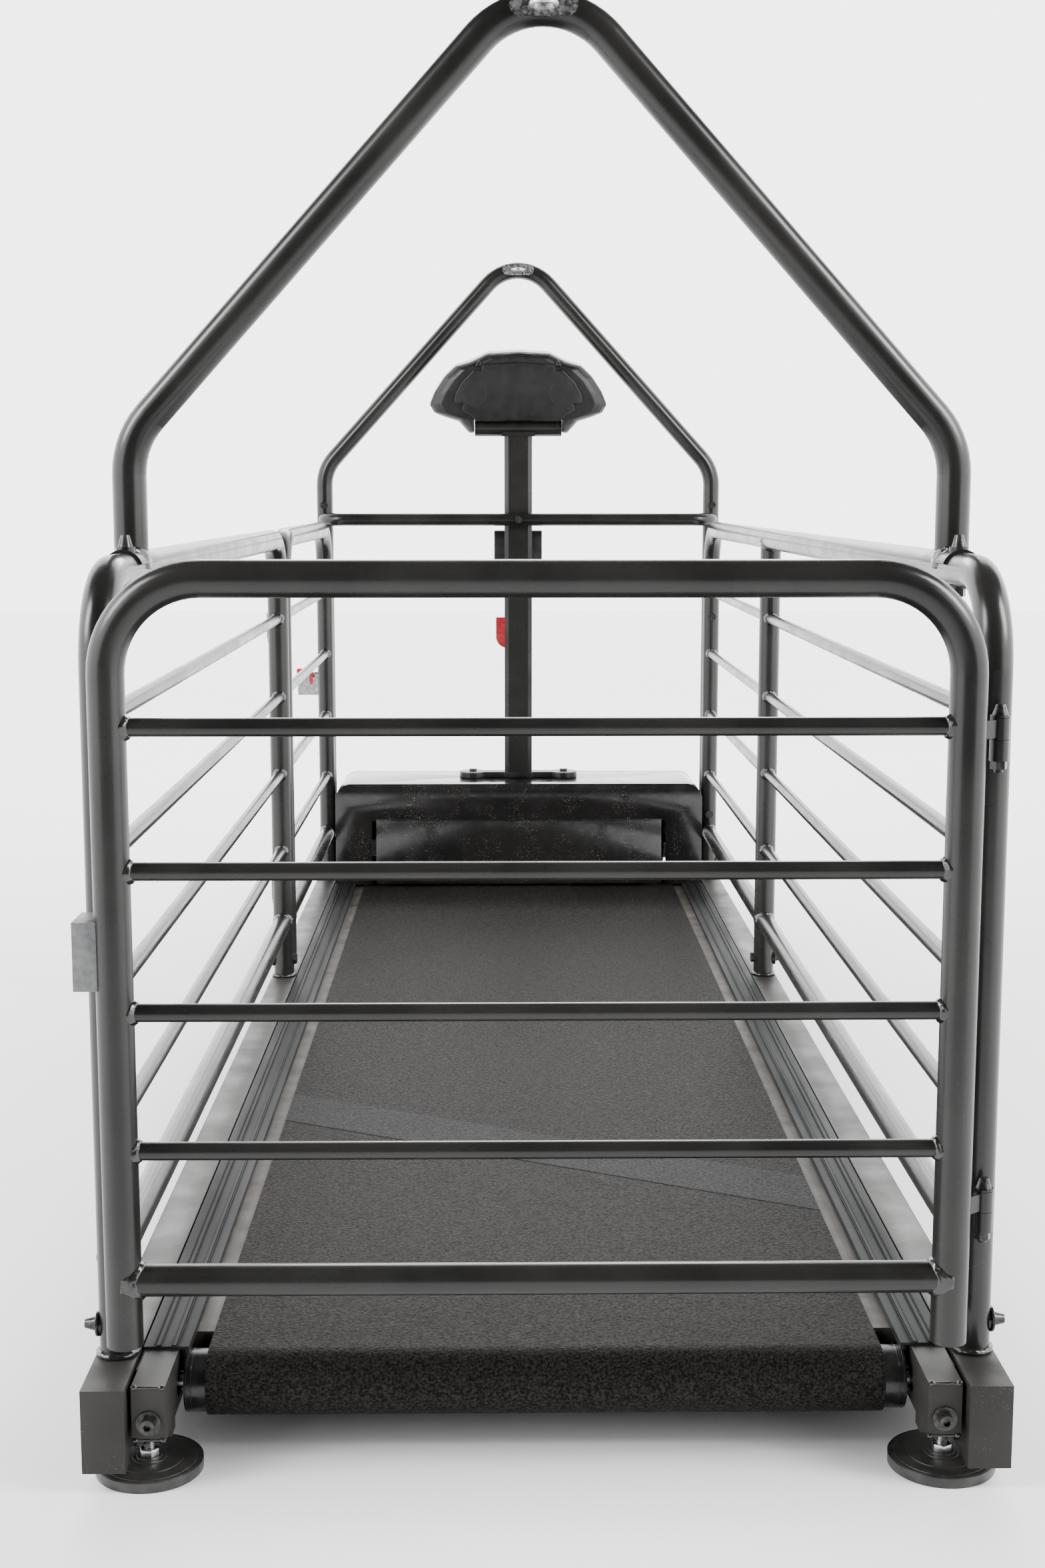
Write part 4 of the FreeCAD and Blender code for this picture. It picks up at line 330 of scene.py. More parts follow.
def over(finish, mask, tone):
    """Lays another tone over the base colour where the mask is 1."""
    tree = finish.node_tree
    base = shader_of(finish).inputs["Base Color"]
    mixer = tree.nodes.new("ShaderNodeMix")
    mixer.data_type = "RGBA"
    tree.links.new(mask, mixer.inputs["Factor"])
    tree.links.new(base.links[0].from_socket, mixer.inputs["A"])
    mixer.inputs["B"].default_value = (*tone, 1.0)
    tree.links.new(mixer.outputs["Result"], base)


def gloss(finish, value):
    """Drives the roughness by a pattern."""
    finish.node_tree.links.new(value, shader_of(finish).inputs["Roughness"])


def relief(finish, value, height, strength=1.0):
    """Raises the surface by a pattern, height in metres; a second call adds to the first."""
    tree = finish.node_tree
    normal = shader_of(finish).inputs["Normal"]
    bump = tree.nodes.new("ShaderNodeBump")
    bump.inputs["Strength"].default_value = strength
    bump.inputs["Distance"].default_value = height
    tree.links.new(value, bump.inputs["Height"])
    if normal.links:
        tree.links.new(normal.links[0].from_socket, bump.inputs["Normal"])
    tree.links.new(bump.outputs["Normal"], normal)


def dusted(finish, tone=(0.3, 0.29, 0.27), rarity=0.7):
    """Scatters pale specks of dust in loose patches."""
    specks = banded(finish, noise(finish, 900.0, 1.0), 0.0, 1.0, rarity, rarity + 0.03)
    patches = banded(finish, noise(finish, 24.0, 2.0), 0.0, 1.0, 0.42, 0.62)
    over(finish, maths(finish, "MULTIPLY", specks, patches), tone)


# %% [markdown]
# ### Powder coat
# The tubes are glossy black powder coat, nearly black, with a faint orange peel that
# breaks up the long highlights, and handling marks that dull the gloss in patches.

# %% Powder coat and painted base
powder_coat = new_finish("powder_coat", (0.012, 0.0115, 0.011), 0.26, specular=0.4)
mottle(powder_coat, noise(powder_coat, 9.0, 4.0), (0.008, 0.0077, 0.0073), (0.016, 0.0155, 0.0147))
gloss(powder_coat, banded(powder_coat, noise(powder_coat, 14.0, 3.0), 0.22, 0.3))
relief(powder_coat, noise(powder_coat, 70.0, 1.0), 0.0001, 0.08)
dusted(powder_coat, (0.06, 0.058, 0.055), 0.78)

satin_steel = new_finish("satin_steel", (0.03, 0.03, 0.029), 0.4, specular=0.2)
mottle(satin_steel, noise(satin_steel, 7.0, 5.0), (0.02, 0.0188, 0.0175), (0.036, 0.034, 0.0318))
gloss(satin_steel, banded(satin_steel, noise(satin_steel, 18.0, 6.0), 0.32, 0.48))
relief(satin_steel, noise(satin_steel, 160.0, 2.0), 0.0001, 0.1)
dusted(satin_steel, (0.2, 0.19, 0.175), 0.73)

# %% [markdown]
# ### Welds and fasteners
# The weld beads are under the same powder coat, which runs thick and shiny over them.
# Bolts and nuts are black, the small hooks, studs and the toggle clamp are zinc plated.

# %% Welds, black bolts and zinc
weld_coat = new_finish("weld_coat", (0.014, 0.0135, 0.013), 0.16, coat=0.4)
mottle(weld_coat, noise(weld_coat, 120.0, 3.0), (0.009, 0.0088, 0.0085), (0.022, 0.021, 0.02))
relief(weld_coat, noise(weld_coat, 600.0, 2.0), 0.0003, 0.35)

black_bolt = new_finish("black_bolt", (0.03, 0.03, 0.03), 0.24, metallic=0.5)
mottle(black_bolt, noise(black_bolt, 200.0, 3.0), (0.016, 0.0157, 0.0153), (0.05, 0.0485, 0.047))
gloss(black_bolt, banded(black_bolt, noise(black_bolt, 350.0, 3.0), 0.18, 0.34))

bright_zinc = new_finish("bright_zinc", (0.62, 0.62, 0.64), 0.28, metallic=1.0)
mottle(bright_zinc, noise(bright_zinc, 160.0, 3.0), (0.46, 0.46, 0.47), (0.74, 0.74, 0.74))
gloss(bright_zinc, banded(bright_zinc, noise(bright_zinc, 300.0, 3.0), 0.2, 0.38))

# %% [markdown]
# ### Moulded plastic and rubber
# The hood is glossy, the console's shell has a fine leather grain, the side strips are
# ribbed matt plastic, and the feet are smooth hard rubber with scuffs.

# %% Plastics and rubber
hood_gloss = new_finish("hood_gloss", (0.008, 0.008, 0.008), 0.14, coat=0.3)
mottle(hood_gloss, noise(hood_gloss, 5.0, 4.0), (0.0055, 0.0054, 0.0052), (0.012, 0.0116, 0.011))
gloss(hood_gloss, banded(hood_gloss, noise(hood_gloss, 40.0, 6.0), 0.1, 0.24))
relief(hood_gloss, noise(hood_gloss, 14.0, 2.0), 0.0004, 0.2)
dusted(hood_gloss, (0.4, 0.38, 0.35), 0.71)

grained_plastic = new_finish("grained_plastic", (0.009, 0.009, 0.009), 0.36, specular=0.35)
mottle(grained_plastic, noise(grained_plastic, 30.0, 4.0),
       (0.0065, 0.0064, 0.0062), (0.0115, 0.0113, 0.011))
gloss(grained_plastic, banded(grained_plastic, noise(grained_plastic, 60.0, 4.0), 0.3, 0.42))
relief(grained_plastic, noise(grained_plastic, 1300.0, 2.0), 0.0001, 0.3)

foot_rubber = new_finish("foot_rubber", (0.025, 0.025, 0.025), 0.36)
mottle(foot_rubber, noise(foot_rubber, 60.0, 5.0), (0.015, 0.0148, 0.0145), (0.036, 0.035, 0.033))
gloss(foot_rubber, banded(foot_rubber, noise(foot_rubber, 35.0, 5.0), 0.26, 0.46))
relief(foot_rubber, noise(foot_rubber, 800.0, 2.0), 0.0001, 0.25)
dusted(foot_rubber, (0.3, 0.29, 0.27), 0.72)

strip_plastic = new_finish("strip_plastic", (0.03, 0.031, 0.032), 0.42, specular=0.06)
long_mottle = noise(strip_plastic, 12.0, 5.0, (1.0, 0.15, 1.0))
mottle(strip_plastic, long_mottle, (0.012, 0.0126, 0.013), (0.024, 0.0248, 0.0255))
long_scuffs = noise(strip_plastic, 40.0, 4.0, (1.0, 0.1, 1.0))
gloss(strip_plastic, banded(strip_plastic, long_scuffs, 0.33, 0.5))
dusted(strip_plastic, (0.2, 0.19, 0.18), 0.72)

deck_film = new_finish("deck_film", (0.08, 0.072, 0.063), 0.4, specular=0.08)
mottle(deck_film, noise(deck_film, 22.0, 6.0), (0.055, 0.05, 0.044), (0.1, 0.091, 0.081))
gloss(deck_film, banded(deck_film, noise(deck_film, 40.0, 5.0), 0.3, 0.46))

roller_black = new_finish("roller_black", (0.01, 0.01, 0.01), 0.26)
mottle(roller_black, noise(roller_black, 40.0, 4.0, (0.2, 1.0, 1.0)),
       (0.006, 0.006, 0.0058), (0.016, 0.0155, 0.015))
gloss(roller_black, banded(roller_black, noise(roller_black, 70.0, 4.0), 0.2, 0.34))

# %% Small coloured plastics, castings and glass
red_plastic = new_finish("red_plastic", (0.6, 0.015, 0.03), 0.3, coat=0.2)
mottle(red_plastic, noise(red_plastic, 80.0, 3.0), (0.48, 0.008, 0.02), (0.66, 0.016, 0.036))
gloss(red_plastic, banded(red_plastic, noise(red_plastic, 200.0, 3.0), 0.24, 0.36))

grey_plastic = new_finish("grey_plastic", (0.14, 0.14, 0.145), 0.45)
mottle(grey_plastic, noise(grey_plastic, 120.0, 4.0), (0.105, 0.107, 0.11), (0.165, 0.167, 0.17))
relief(grey_plastic, noise(grey_plastic, 1200.0, 2.0), 0.0001, 0.3)

cast_grey = new_finish("cast_grey", (0.14, 0.14, 0.15), 0.5, metallic=0.5)
mottle(cast_grey, noise(cast_grey, 120.0, 4.0), (0.1, 0.1, 0.11), (0.2, 0.2, 0.21))
relief(cast_grey, noise(cast_grey, 500.0, 3.0), 0.0002, 0.4)

motor_paint = new_finish("motor_paint", (0.05, 0.05, 0.052), 0.4, metallic=0.2)
mottle(motor_paint, noise(motor_paint, 90.0, 4.0), (0.035, 0.035, 0.037), (0.07, 0.07, 0.072))
relief(motor_paint, noise(motor_paint, 700.0, 2.0), 0.0001, 0.3)

display_glass = new_finish("display_glass", (0.006, 0.01, 0.014), 0.08, coat=0.5)
mottle(display_glass, noise(display_glass, 60.0, 2.0), (0.004, 0.007, 0.01), (0.01, 0.016, 0.022))

lit_digit = new_finish("lit_digit", (0.5, 0.06, 0.03), 0.4)
mottle(lit_digit, noise(lit_digit, 300.0, 2.0), (0.42, 0.04, 0.02), (0.6, 0.08, 0.04))

sign_white = new_finish("sign_white", (0.7, 0.7, 0.7), 0.4)
mottle(sign_white, noise(sign_white, 300.0, 2.0), (0.62, 0.62, 0.62), (0.74, 0.74, 0.74))

grille_dark = new_finish("grille_dark", (0.004, 0.004, 0.004), 0.6)
mottle(grille_dark, noise(grille_dark, 400.0, 2.0), (0.002, 0.002, 0.002), (0.006, 0.006, 0.006))

# %% [markdown]
# ### Running belt
# The belt is a black PVC sheet whose top is pressed with a wormy pebble, 2 to 3 mm apart.
# Its colour is mottled at random in dark and light specks; the light specks are partly a
# painted highlight, standing in for the glints of the pebbles. Where it is joined end to
# end, a slanted band has coarser pebbles; their glints are painted highlight, lighter
# specks laid into the band's colour. A fine crease closes the band at its near edge. The
# band is found by the distance from a slanted line across the belt: Y falls by 0.52 for
# each step along X.

# %% Running belt
belt_pebble = new_finish("belt_pebble", (0.02, 0.019, 0.018), 0.5, specular=0.02)
SEAM_FALL = 0.5226
SEAM_MIDDLE = -0.6265
SEAM_HALF_WIDTH = 0.055
SEAM_FADE = 0.004


def belt_seam(finish):
    """1 inside the slanted seam band, 0 outside, and the signed distance from its middle."""
    tree = finish.node_tree
    split = tree.nodes.new("ShaderNodeSeparateXYZ")
    tree.links.new(place_of(finish), split.inputs["Vector"])
    along = maths(finish, "MULTIPLY_ADD", split.outputs["X"], SEAM_FALL, split.outputs["Y"])
    offset = maths(finish, "SUBTRACT", along, SEAM_MIDDLE)
    away = maths(finish, "ABSOLUTE", offset)
    inside = banded(finish, away, 1.0, 0.0, SEAM_HALF_WIDTH - SEAM_FADE, SEAM_HALF_WIDTH)
    return inside, offset


seam_band, seam_offset = belt_seam(belt_pebble)
pebbles = noise(belt_pebble, 330.0, 2.0)
fine_grain = noise(belt_pebble, 900.0, 4.0)
# random tone, partly painted highlight: the light specks of this mottle stand in for the pebbles'
# glints
mottle(belt_pebble, noise(belt_pebble, 430.0, 4.0),
       (0.006, 0.0055, 0.005), (0.029, 0.0268, 0.0247), (0.38, 0.66))
# painted highlight: lighter specks laid into the seam band's colour stand in for its glints
painted_glints = banded(belt_pebble, fine_grain, 0.1, 0.9, 0.46, 0.6)
over(belt_pebble, maths(belt_pebble, "MULTIPLY", seam_band, painted_glints), (0.038, 0.0395, 0.041))
gloss(belt_pebble, banded(belt_pebble, pebbles, 0.34, 0.56))
relief(belt_pebble, pebbles, 0.0011, 0.75)
relief(belt_pebble, fine_grain, 0.0004, 0.5)
from_edge = maths(belt_pebble, "ABSOLUTE", maths(belt_pebble, "ADD", seam_offset, SEAM_HALF_WIDTH))
seam_edge = banded(belt_pebble, from_edge, 1.0, 0.0, 0.0005, 0.0025)
relief(belt_pebble, seam_edge, 0.0015, 0.8)
over(belt_pebble, seam_edge, (0.004, 0.004, 0.004))

inner_fabric = new_finish("inner_fabric", (0.03, 0.03, 0.03), 0.7)
mottle(inner_fabric, noise(inner_fabric, 700.0, 3.0), (0.02, 0.02, 0.02), (0.05, 0.05, 0.05))
print("finishes made:", len(bpy.data.materials))

# %% [markdown]
# ## Giving each CAD node its finish
# One table names the nodes for each finish, and a line at the end lists any node that
# was forgotten.

# %% Finishes of the CAD nodes
node_finishes = {
    powder_coat: (
        "right_panel_frame right_panel_rungs left_panel_frame left_panel_rungs "
        "door_frame door_rungs gate_frame gate_rungs near_hoop far_hoop hoop_saddles "
        "console_mast handle_bow console_hinge"
    ),
    satin_steel: "left_side_channel right_side_channel main_frame",
    hood_gloss: "motor_hood belt_guard console_front_panel",
    grained_plastic: "mast_base remote_cradle console_back_shell power_inlet gate_magnet",
    grille_dark: "console_speakers",
    bright_zinc: "roller_axles roller_bearings leash_eyes clamp_base clamp_arm",
    black_bolt: "frame_bolts cap_nuts hex_nuts belt_tension_bolts",
    foot_rubber: "near_left_foot near_right_foot far_left_foot far_right_foot deck_cushions",
    deck_film: "deck_board",
    strip_plastic: "left_foot_rail right_foot_rail",
    roller_black: "rear_roller front_roller",
    red_plastic: "stop_paddle start_stop_button safety_key clamp_handle",
    grey_plastic: "gate_catch speed_up_button speed_down_button",
    cast_grey: "motor_mount motor_rotor roller_pulley motor_controller",
    motor_paint: "drive_motor",
    display_glass: "console_display",
    belt_pebble: "running_belt",
    inner_fabric: "drive_belt",
}
finished = set()
for finish, names in node_finishes.items():
    for name in names.split():
        mesh = cad_nodes[name].data
        mesh.materials.clear()
        mesh.materials.append(finish)
        finished.add(name)
print("CAD nodes with no finish:", sorted(set(cad_nodes) - finished))

# %% Pale floor and dark screen
pale_floor = new_finish("pale_floor", (0.88, 0.88, 0.88), 0.5)
mottle(pale_floor, noise(pale_floor, 0.6, 2.0), (0.87, 0.87, 0.87), (0.9, 0.9, 0.9))
floor.data.materials.append(pale_floor)
screen_cloth = new_finish("screen_cloth", (0.02, 0.02, 0.02), 0.9, specular=0.1)
mottle(screen_cloth, noise(screen_cloth, 2.0, 2.0), (0.018, 0.018, 0.018), (0.022, 0.022, 0.022))
for screen in screens:
    screen.data.materials.append(screen_cloth)

# %% [markdown]
# ## Shaping helpers
# The pieces below start as cylinders, blocks and outlines. Weld beads and moulded shells
# are fused by a voxel remesh, made a little lumpy where they are hand work, smoothed,
# and thinned again, so that copies stay light.

# %% Shaping helpers


def block(name, low, high):
    """A box between two corners."""
    put_down()
    middle = (Vector(low) + Vector(high)) / 2
    bpy.ops.mesh.primitive_cube_add(size=1.0, location=middle)
    piece = bpy.context.object
    piece.scale = Vector(high) - Vector(low)
    return settle(piece, name)


def outlined(name, points, near, far):
    """A slab with a given (x, z) outline between two y places."""
    put_down()
    bpy.ops.mesh.primitive_circle_add(vertices=len(points), radius=0.1, fill_type="NGON")
    piece = bpy.context.object
    for corner, (x, z) in zip(piece.data.vertices, points):
        corner.co = (x, near, z)
    bpy.ops.object.mode_set(mode="EDIT")
    bpy.ops.mesh.select_all(action="SELECT")
    bpy.ops.mesh.extrude_region_move(TRANSFORM_OT_translate={"value": (0.0, far - near, 0.0)})
    bpy.ops.mesh.select_all(action="SELECT")
    bpy.ops.mesh.normals_make_consistent(inside=False)
    bpy.ops.object.mode_set(mode="OBJECT")
    return settle(piece, name)


def ring(name, around, thick, place, axis="Z", sides=64):
    """A round wire bent to a circle."""
    put_down()
    bpy.ops.mesh.primitive_torus_add(
        major_radius=around, minor_radius=thick, major_segments=sides, minor_segments=10,
        location=place, rotation=TURNS[axis])
    return settle(bpy.context.object, name)


def cut_by(piece, tool, operation="DIFFERENCE"):
    """Cuts with another piece, or keeps what the two share, and removes the tool."""
    modified(piece, "BOOLEAN", operation=operation, object=tool, solver="EXACT")
    removed(tool)
    return piece


def fused(piece, voxel, rounds):
    """Melts overlapping shapes into one skin."""
    modified(piece, "REMESH", mode="VOXEL", voxel_size=voxel)
    return modified(piece, "SMOOTH", factor=0.5, iterations=rounds)


def thinned(piece, faces):
    share = min(1.0, faces / len(piece.data.polygons))
    return modified(piece, "DECIMATE", decimate_type="COLLAPSE", ratio=share)


def dressed(piece, finish):
    piece.data.materials.clear()
    piece.data.materials.append(finish)
    return piece


def sewn(node, name):
    """A copy of a CAD node with its loose triangles sewn and its flat faces joined up."""
    twin = cad_nodes[node].copy()
    twin.data = cad_nodes[node].data.copy()
    bpy.context.scene.collection.objects.link(twin)
    settle(twin, name)
    bpy.ops.object.mode_set(mode="EDIT")
    bpy.ops.mesh.select_all(action="SELECT")
    bpy.ops.mesh.remove_doubles(threshold=0.00001)
    bpy.ops.mesh.dissolve_limited(angle_limit=math.radians(0.8))
    bpy.ops.mesh.normals_make_consistent(inside=False)
    bpy.ops.object.mode_set(mode="OBJECT")
    return twin


clumps = bpy.data.textures.new("clumps", "CLOUDS")
clumps.noise_scale = 0.005


def beaded(piece, voxel, swell, faces):
    """Turns a rough shape into a hand-made weld bead."""
    fused(piece, voxel, 2)
    modified(piece, "DISPLACE", texture=clumps, strength=swell, mid_level=0.5,
             texture_coords="LOCAL")
    modified(piece, "SMOOTH", factor=0.5, iterations=2)
    thinned(piece, faces)
    return dressed(smooth(piece, 70), weld_coat)


# %% [markdown]
# ## Weld beads
# Every rung ends on a post in a raised bead. The bead is what a widened rung and a
# widened post have in common, in three steps that make its slope. It is modelled with
# the post at the origin and the rung along X, and then copied to each joint.

# %% Bead where a rod meets a tube
BEAD_STEPS = ((0.0032, 0.0008), (0.0023, 0.0021), (0.0012, 0.0036))
BEAD_VOXEL = 0.0008
BEAD_SWELL = 0.0022


def weld_collar(name, rod, post, faces, shift=0.0):
    """A bead round a rod along +X that meets an upright tube at the origin.

    It is lumped at a height of its own, so that two beads get different lumps.
    """
    layers = []
    for wider, prouder in BEAD_STEPS:
        sleeve = cylinder("sleeve", rod + wider, 0.06, (0.03, 0.0, shift), "X")
        drum = cylinder("drum", post + prouder, 0.12, (0.0, 0.0, shift))
        layers.append(cut_by(sleeve, drum, "INTERSECT"))
    bead = beaded(joined(layers, name), BEAD_VOXEL, BEAD_SWELL, faces)
    bead.location = (0.0, 0.0, -shift)
    return settle(bead, bead.name)


POST = 0.016
RUNG = 0.008
LOW_TUBE = 0.014
rung_beads = [weld_collar("rung_bead", RUNG, POST, 460, shift) for shift in (0.0, 0.4)]
low_beads = [weld_collar("low_bead", LOW_TUBE, POST, 640, shift) for shift in (0.0, 0.3)]
print("bead faces:", [len(bead.data.polygons) for bead in rung_beads + low_beads])

# %% Beads on every rung
RUNG_HEIGHTS = (0.671, 0.548, 0.425, 0.302)
LOW_TUBE_HEIGHT = 0.185
POST_LINE = 0.387
NEAR_POST = -1.206
MIDDLE_POST = 0.215
PANEL_LEG = 1.072
HOOP_LEG = 1.105
GATE_LINE = -1.256
GATE_HINGE_POST = -0.3705
GATE_FREE_POST = 0.3535
DOOR_HINGE_POST = 0.259
TOWARDS = {"+X": 0.0, "+Y": math.pi / 2, "-X": math.pi, "-Y": -math.pi / 2}


def beads_at(x, y, towards):
    """One bead for each rung and the low tube on one side of a post."""
    placed = []
    for step, height in enumerate((*RUNG_HEIGHTS, LOW_TUBE_HEIGHT)):
        kind = low_beads if height == LOW_TUBE_HEIGHT else rung_beads
        flip = math.pi * (step % 2)
        turn = (flip, 0.0, TOWARDS[towards])
        placed.append(copied(kind[(step // 2 + len(placed)) % 2], (x, y, height), turn))
    return placed


on_gate = beads_at(GATE_HINGE_POST, GATE_LINE, "+X")
on_gate += beads_at(GATE_FREE_POST, GATE_LINE, "-X")
gate_beads = joined(on_gate, "gate_weld_beads")
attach(gate_beads, "gate")
on_door = beads_at(-POST_LINE, DOOR_HINGE_POST, "+Y")
on_door += beads_at(-POST_LINE, PANEL_LEG, "-Y")
door_beads = joined(on_door, "door_weld_beads")
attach(door_beads, "side_door")
side_beads = []
for x in (-POST_LINE, POST_LINE):
    side_beads += beads_at(x, NEAR_POST, "+Y") + beads_at(x, MIDDLE_POST, "-Y")
side_beads += beads_at(POST_LINE, MIDDLE_POST, "+Y") + beads_at(POST_LINE, PANEL_LEG, "-Y")
cage_beads = joined(side_beads, "cage_weld_beads")
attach(cage_beads, "base")
print("beads placed on 50 joints of gate, door and cage")

# %% Beads under the posts and hoop legs
POST_FOOT_HEIGHT = 0.0985
RAIL_HEIGHT = 0.795
NEAR_HOOP = -1.029
foot_ring = ring("foot_ring", 0.0166, 0.003, (0.0, 0.0, 0.0))
beaded(foot_ring, BEAD_VOXEL, BEAD_SWELL, 700)
standing = []
for x in (-POST_LINE, POST_LINE):
    for y in (NEAR_POST, MIDDLE_POST, HOOP_LEG):
        standing.append(copied(foot_ring, (x, y, POST_FOOT_HEIGHT), (0.0, 0.0, 3.0 * y + x)))
standing.append(copied(foot_ring, (POST_LINE, PANEL_LEG, POST_FOOT_HEIGHT)))
leg_bead = weld_collar("leg_bead", POST, 0.019, 900)
for x in (-POST_LINE, POST_LINE):
    place = (x, NEAR_HOOP, RAIL_HEIGHT)
    standing.append(copied(leg_bead, place, (-math.pi / 2, -math.pi / 2, 0.0)))
butt_bead = weld_collar("butt_bead", POST, 0.0162, 900)
place = (POST_LINE, MIDDLE_POST, RAIL_HEIGHT)
standing.append(copied(butt_bead, place, (-math.pi / 2, math.pi / 2, 0.0)))
post_beads = joined(standing, "post_weld_beads")
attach(post_beads, "base")

# %% [markdown]
# The plates that close the inner rails are welded along their top and bottom edges, with
# a blob at each corner where the weld starts and stops.

# %% Beads on the rail ends
edge_bead = joined([
    cylinder("line", 0.0013, 0.026, (0.0, 0.0, 0.0), "X", 16),
    cylinder("blob", 0.0024, 0.004, (-0.0125, 0.0, 0.0), "X", 16),
    cylinder("blob", 0.0024, 0.004, (0.0125, 0.0, 0.0), "X", 16),
], "edge_bead")
beaded(edge_bead, 0.0005, 0.0012, 420)
RAIL_LINE = 0.349
RAIL_END = 1.2725
rail_ends = []
for x in (-RAIL_LINE, RAIL_LINE):
    for y in (-RAIL_END, RAIL_END):
        for z, turn in ((0.0448, math.pi), (0.0932, 0.0)):
            rail_ends.append(copied(edge_bead, (x, y, z), (0.0, 0.0, turn)))
rail_beads = joined(rail_ends, "rail_end_beads")
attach(rail_beads, "base")
for pattern in (*rung_beads, *low_beads, foot_ring, leg_bead, butt_bead, edge_bead):
    removed(pattern)

# %% [markdown]
# ## Levelling feet
# Each foot is a thick rubber pad, rounded at the rim, with a shallow cone that rises to a
# zinc nut and a threaded stud. The pad is a cylinder whose top face is inset and lifted in
# steps. The thread is one chamfered disc repeated up the stud.

# %% One levelling foot
FOOT_RADIUS = 0.048
pad = cylinder("pad", FOOT_RADIUS, 0.0092, (0.0, 0.0, 0.0046), "Z", 96)
PAD_STEPS = (
    (0.0009, -0.0005), (0.0008, 0.0006), (0.004, 0.0005),
    (0.012, 0.0009), (0.015, 0.001), (0.004, 0.001))
stepped(pad, (0.0, 0.0, 1.0), PAD_STEPS)
softened(pad, 0.0011, 4, 28)
dressed(pad, foot_rubber)
nut = cylinder("nut", 0.00924, 0.007, (0.0, 0.0, 0.0164), "Z", 6)
softened(nut, 0.0008, 2)
THREAD_PITCH = 0.0014
thread = cylinder("thread", 0.005, THREAD_PITCH, (0.0, 0.0, 0.0205), "Z", 32)
modified(thread, "BEVEL", width=0.0005, segments=1)
modified(thread, "ARRAY", count=22, use_relative_offset=False, use_constant_offset=True,
         constant_offset_displace=(0.0, 0.0, THREAD_PITCH))
dressed(nut, bright_zinc)
dressed(smooth(thread), bright_zinc)
foot = joined([pad, nut, thread], "levelling_foot")
for x, side in ((-0.356, "left"), (0.356, "right")):
    for y, end in ((-1.235, "near"), (1.235, "far")):
        one = copied(foot, (x, y, 0.0), (0.0, 0.0, x + 2.0 * y))
        one.name = f"{end}_{side}_levelling_foot"
        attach(one, f"{end}_{side}_foot_body")
        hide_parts(f"{end}_{side}_foot")
removed(foot)
print("levelling feet made")

# %% [markdown]
# ## Washers, ribs and rims
# The post bolts sit on dished washers. The foot strips carry fine ridges, and the roller
# ends have turned rims beside the belt.

# %% Dished washers under the cap nuts
POST_BOLT_HEIGHT = 0.124
DISH_MIDDLE = 0.4042
dish = cylinder("dish", 0.0115, 0.0024, (DISH_MIDDLE, 0.0, 0.0), "X", 64)
stepped(dish, (1.0, 0.0, 0.0), ((0.0012, 0.0), (0.0018, -0.0009)))
softened(dish, 0.0004, 2)
dressed(dish, black_bolt)
dishes = []
for turn in (0.0, math.pi):
    for y in (NEAR_POST, MIDDLE_POST, HOOP_LEG):
        dishes.append(copied(dish, (0.0, y, POST_BOLT_HEIGHT), (0.0, 0.0, turn)))
removed(dish)
dish_washers = joined(dishes, "dish_washers")
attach(dish_washers, "base")

# %% Ridges on the foot strips
RIDGE_HALF = 0.0005
for side, name in ((-1.0, "left"), (1.0, "right")):
    ridges = []
    for middle in (0.3352, 0.3405, 0.3512, 0.3565):
        low = (side * middle - RIDGE_HALF, -1.1945, 0.0972)
        high = (side * middle + RIDGE_HALF, 0.9755, 0.0984)
        ridges.append(block("ridge", low, high))
    strip = softened(joined(ridges, f"{name}_strip_ridges"), 0.00035, 2)
    dressed(strip, strip_plastic)
    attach(strip, "base")

# %% Rims on the roller ends
ROLLER_AXIS_HEIGHT = 0.061
RIM_AROUND = 0.0279
for end, y in (("rear", -1.187), ("front", 1.04)):
    rims = []
    for side in (-1.0, 1.0):
        for x, thick in ((0.3262, 0.0006), (0.3215, 0.0004)):
            place = (side * x, y, ROLLER_AXIS_HEIGHT)
            rims.append(ring("rim", RIM_AROUND, thick, place, "X", 72))
    roller_rims = dressed(smooth(joined(rims, f"{end}_roller_rims")), roller_black)
    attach(roller_rims, f"{end}_roller_body")

# %% [markdown]
# ## The console
# The console is a moulded shell that leans back by 12 degrees. Its outline is drawn once,
# mirrored, pulled to a slab, melted and smoothed like a worn clay block, and cut in two:
# the hollow back and the flat face. The parts are modelled upright and leaned at the end.

# %% Outline of the shell
LEAN = math.radians(12.0)
CONSOLE_AXIS = (0.0, 1.089, 0.996)


def leaned(piece, name):
    """Leans a console part back about the hinge axis."""
    pick(piece)
    piece.rotation_euler = (LEAN, 0.0, 0.0)
    piece.location = CONSOLE_AXIS
    return settle(piece, name)


def unleaned(piece):
    """Stands a copy of a CAD console part upright at the origin."""
    pick(piece)
    piece.matrix_world = Matrix.Rotation(-LEAN, 4, "X") @ Matrix.Translation(-Vector(CONSOLE_AXIS))
    return settle(piece, piece.name)


def mirrored(side, top=()):
    """Right side points, given upwards, closed by their mirror images."""
    points = [(x / 1000.0, z / 1000.0) for x, z in side]
    crown = [(x / 1000.0, z / 1000.0) for x, z in top]
    return points + crown + [(-x, z) for x, z in reversed(points)]


shell_side = (
    (87, 20.5), (87, -10.5), (97, -10.5), (117.6, 12.9), (147, 22.1), (166.1, 30), (175, 46),
    (165, 70), (145.1, 100), (122, 122), (92, 131), (60, 147))
EAR_INSIDE = 0.087
MIDDLE_HEIGHT = 0.075


def shrunk(points, share):
    """The outline drawn in towards its middle, the ears kept off the hinge barrel."""
    drawn_in = []
    for x, z in points:
        across = x * share
        if z < 0.021:
            across = math.copysign(max(abs(across), EAR_INSIDE), x)
        drawn_in.append((across, MIDDLE_HEIGHT + (z - MIDDLE_HEIGHT) * share))
    return drawn_in


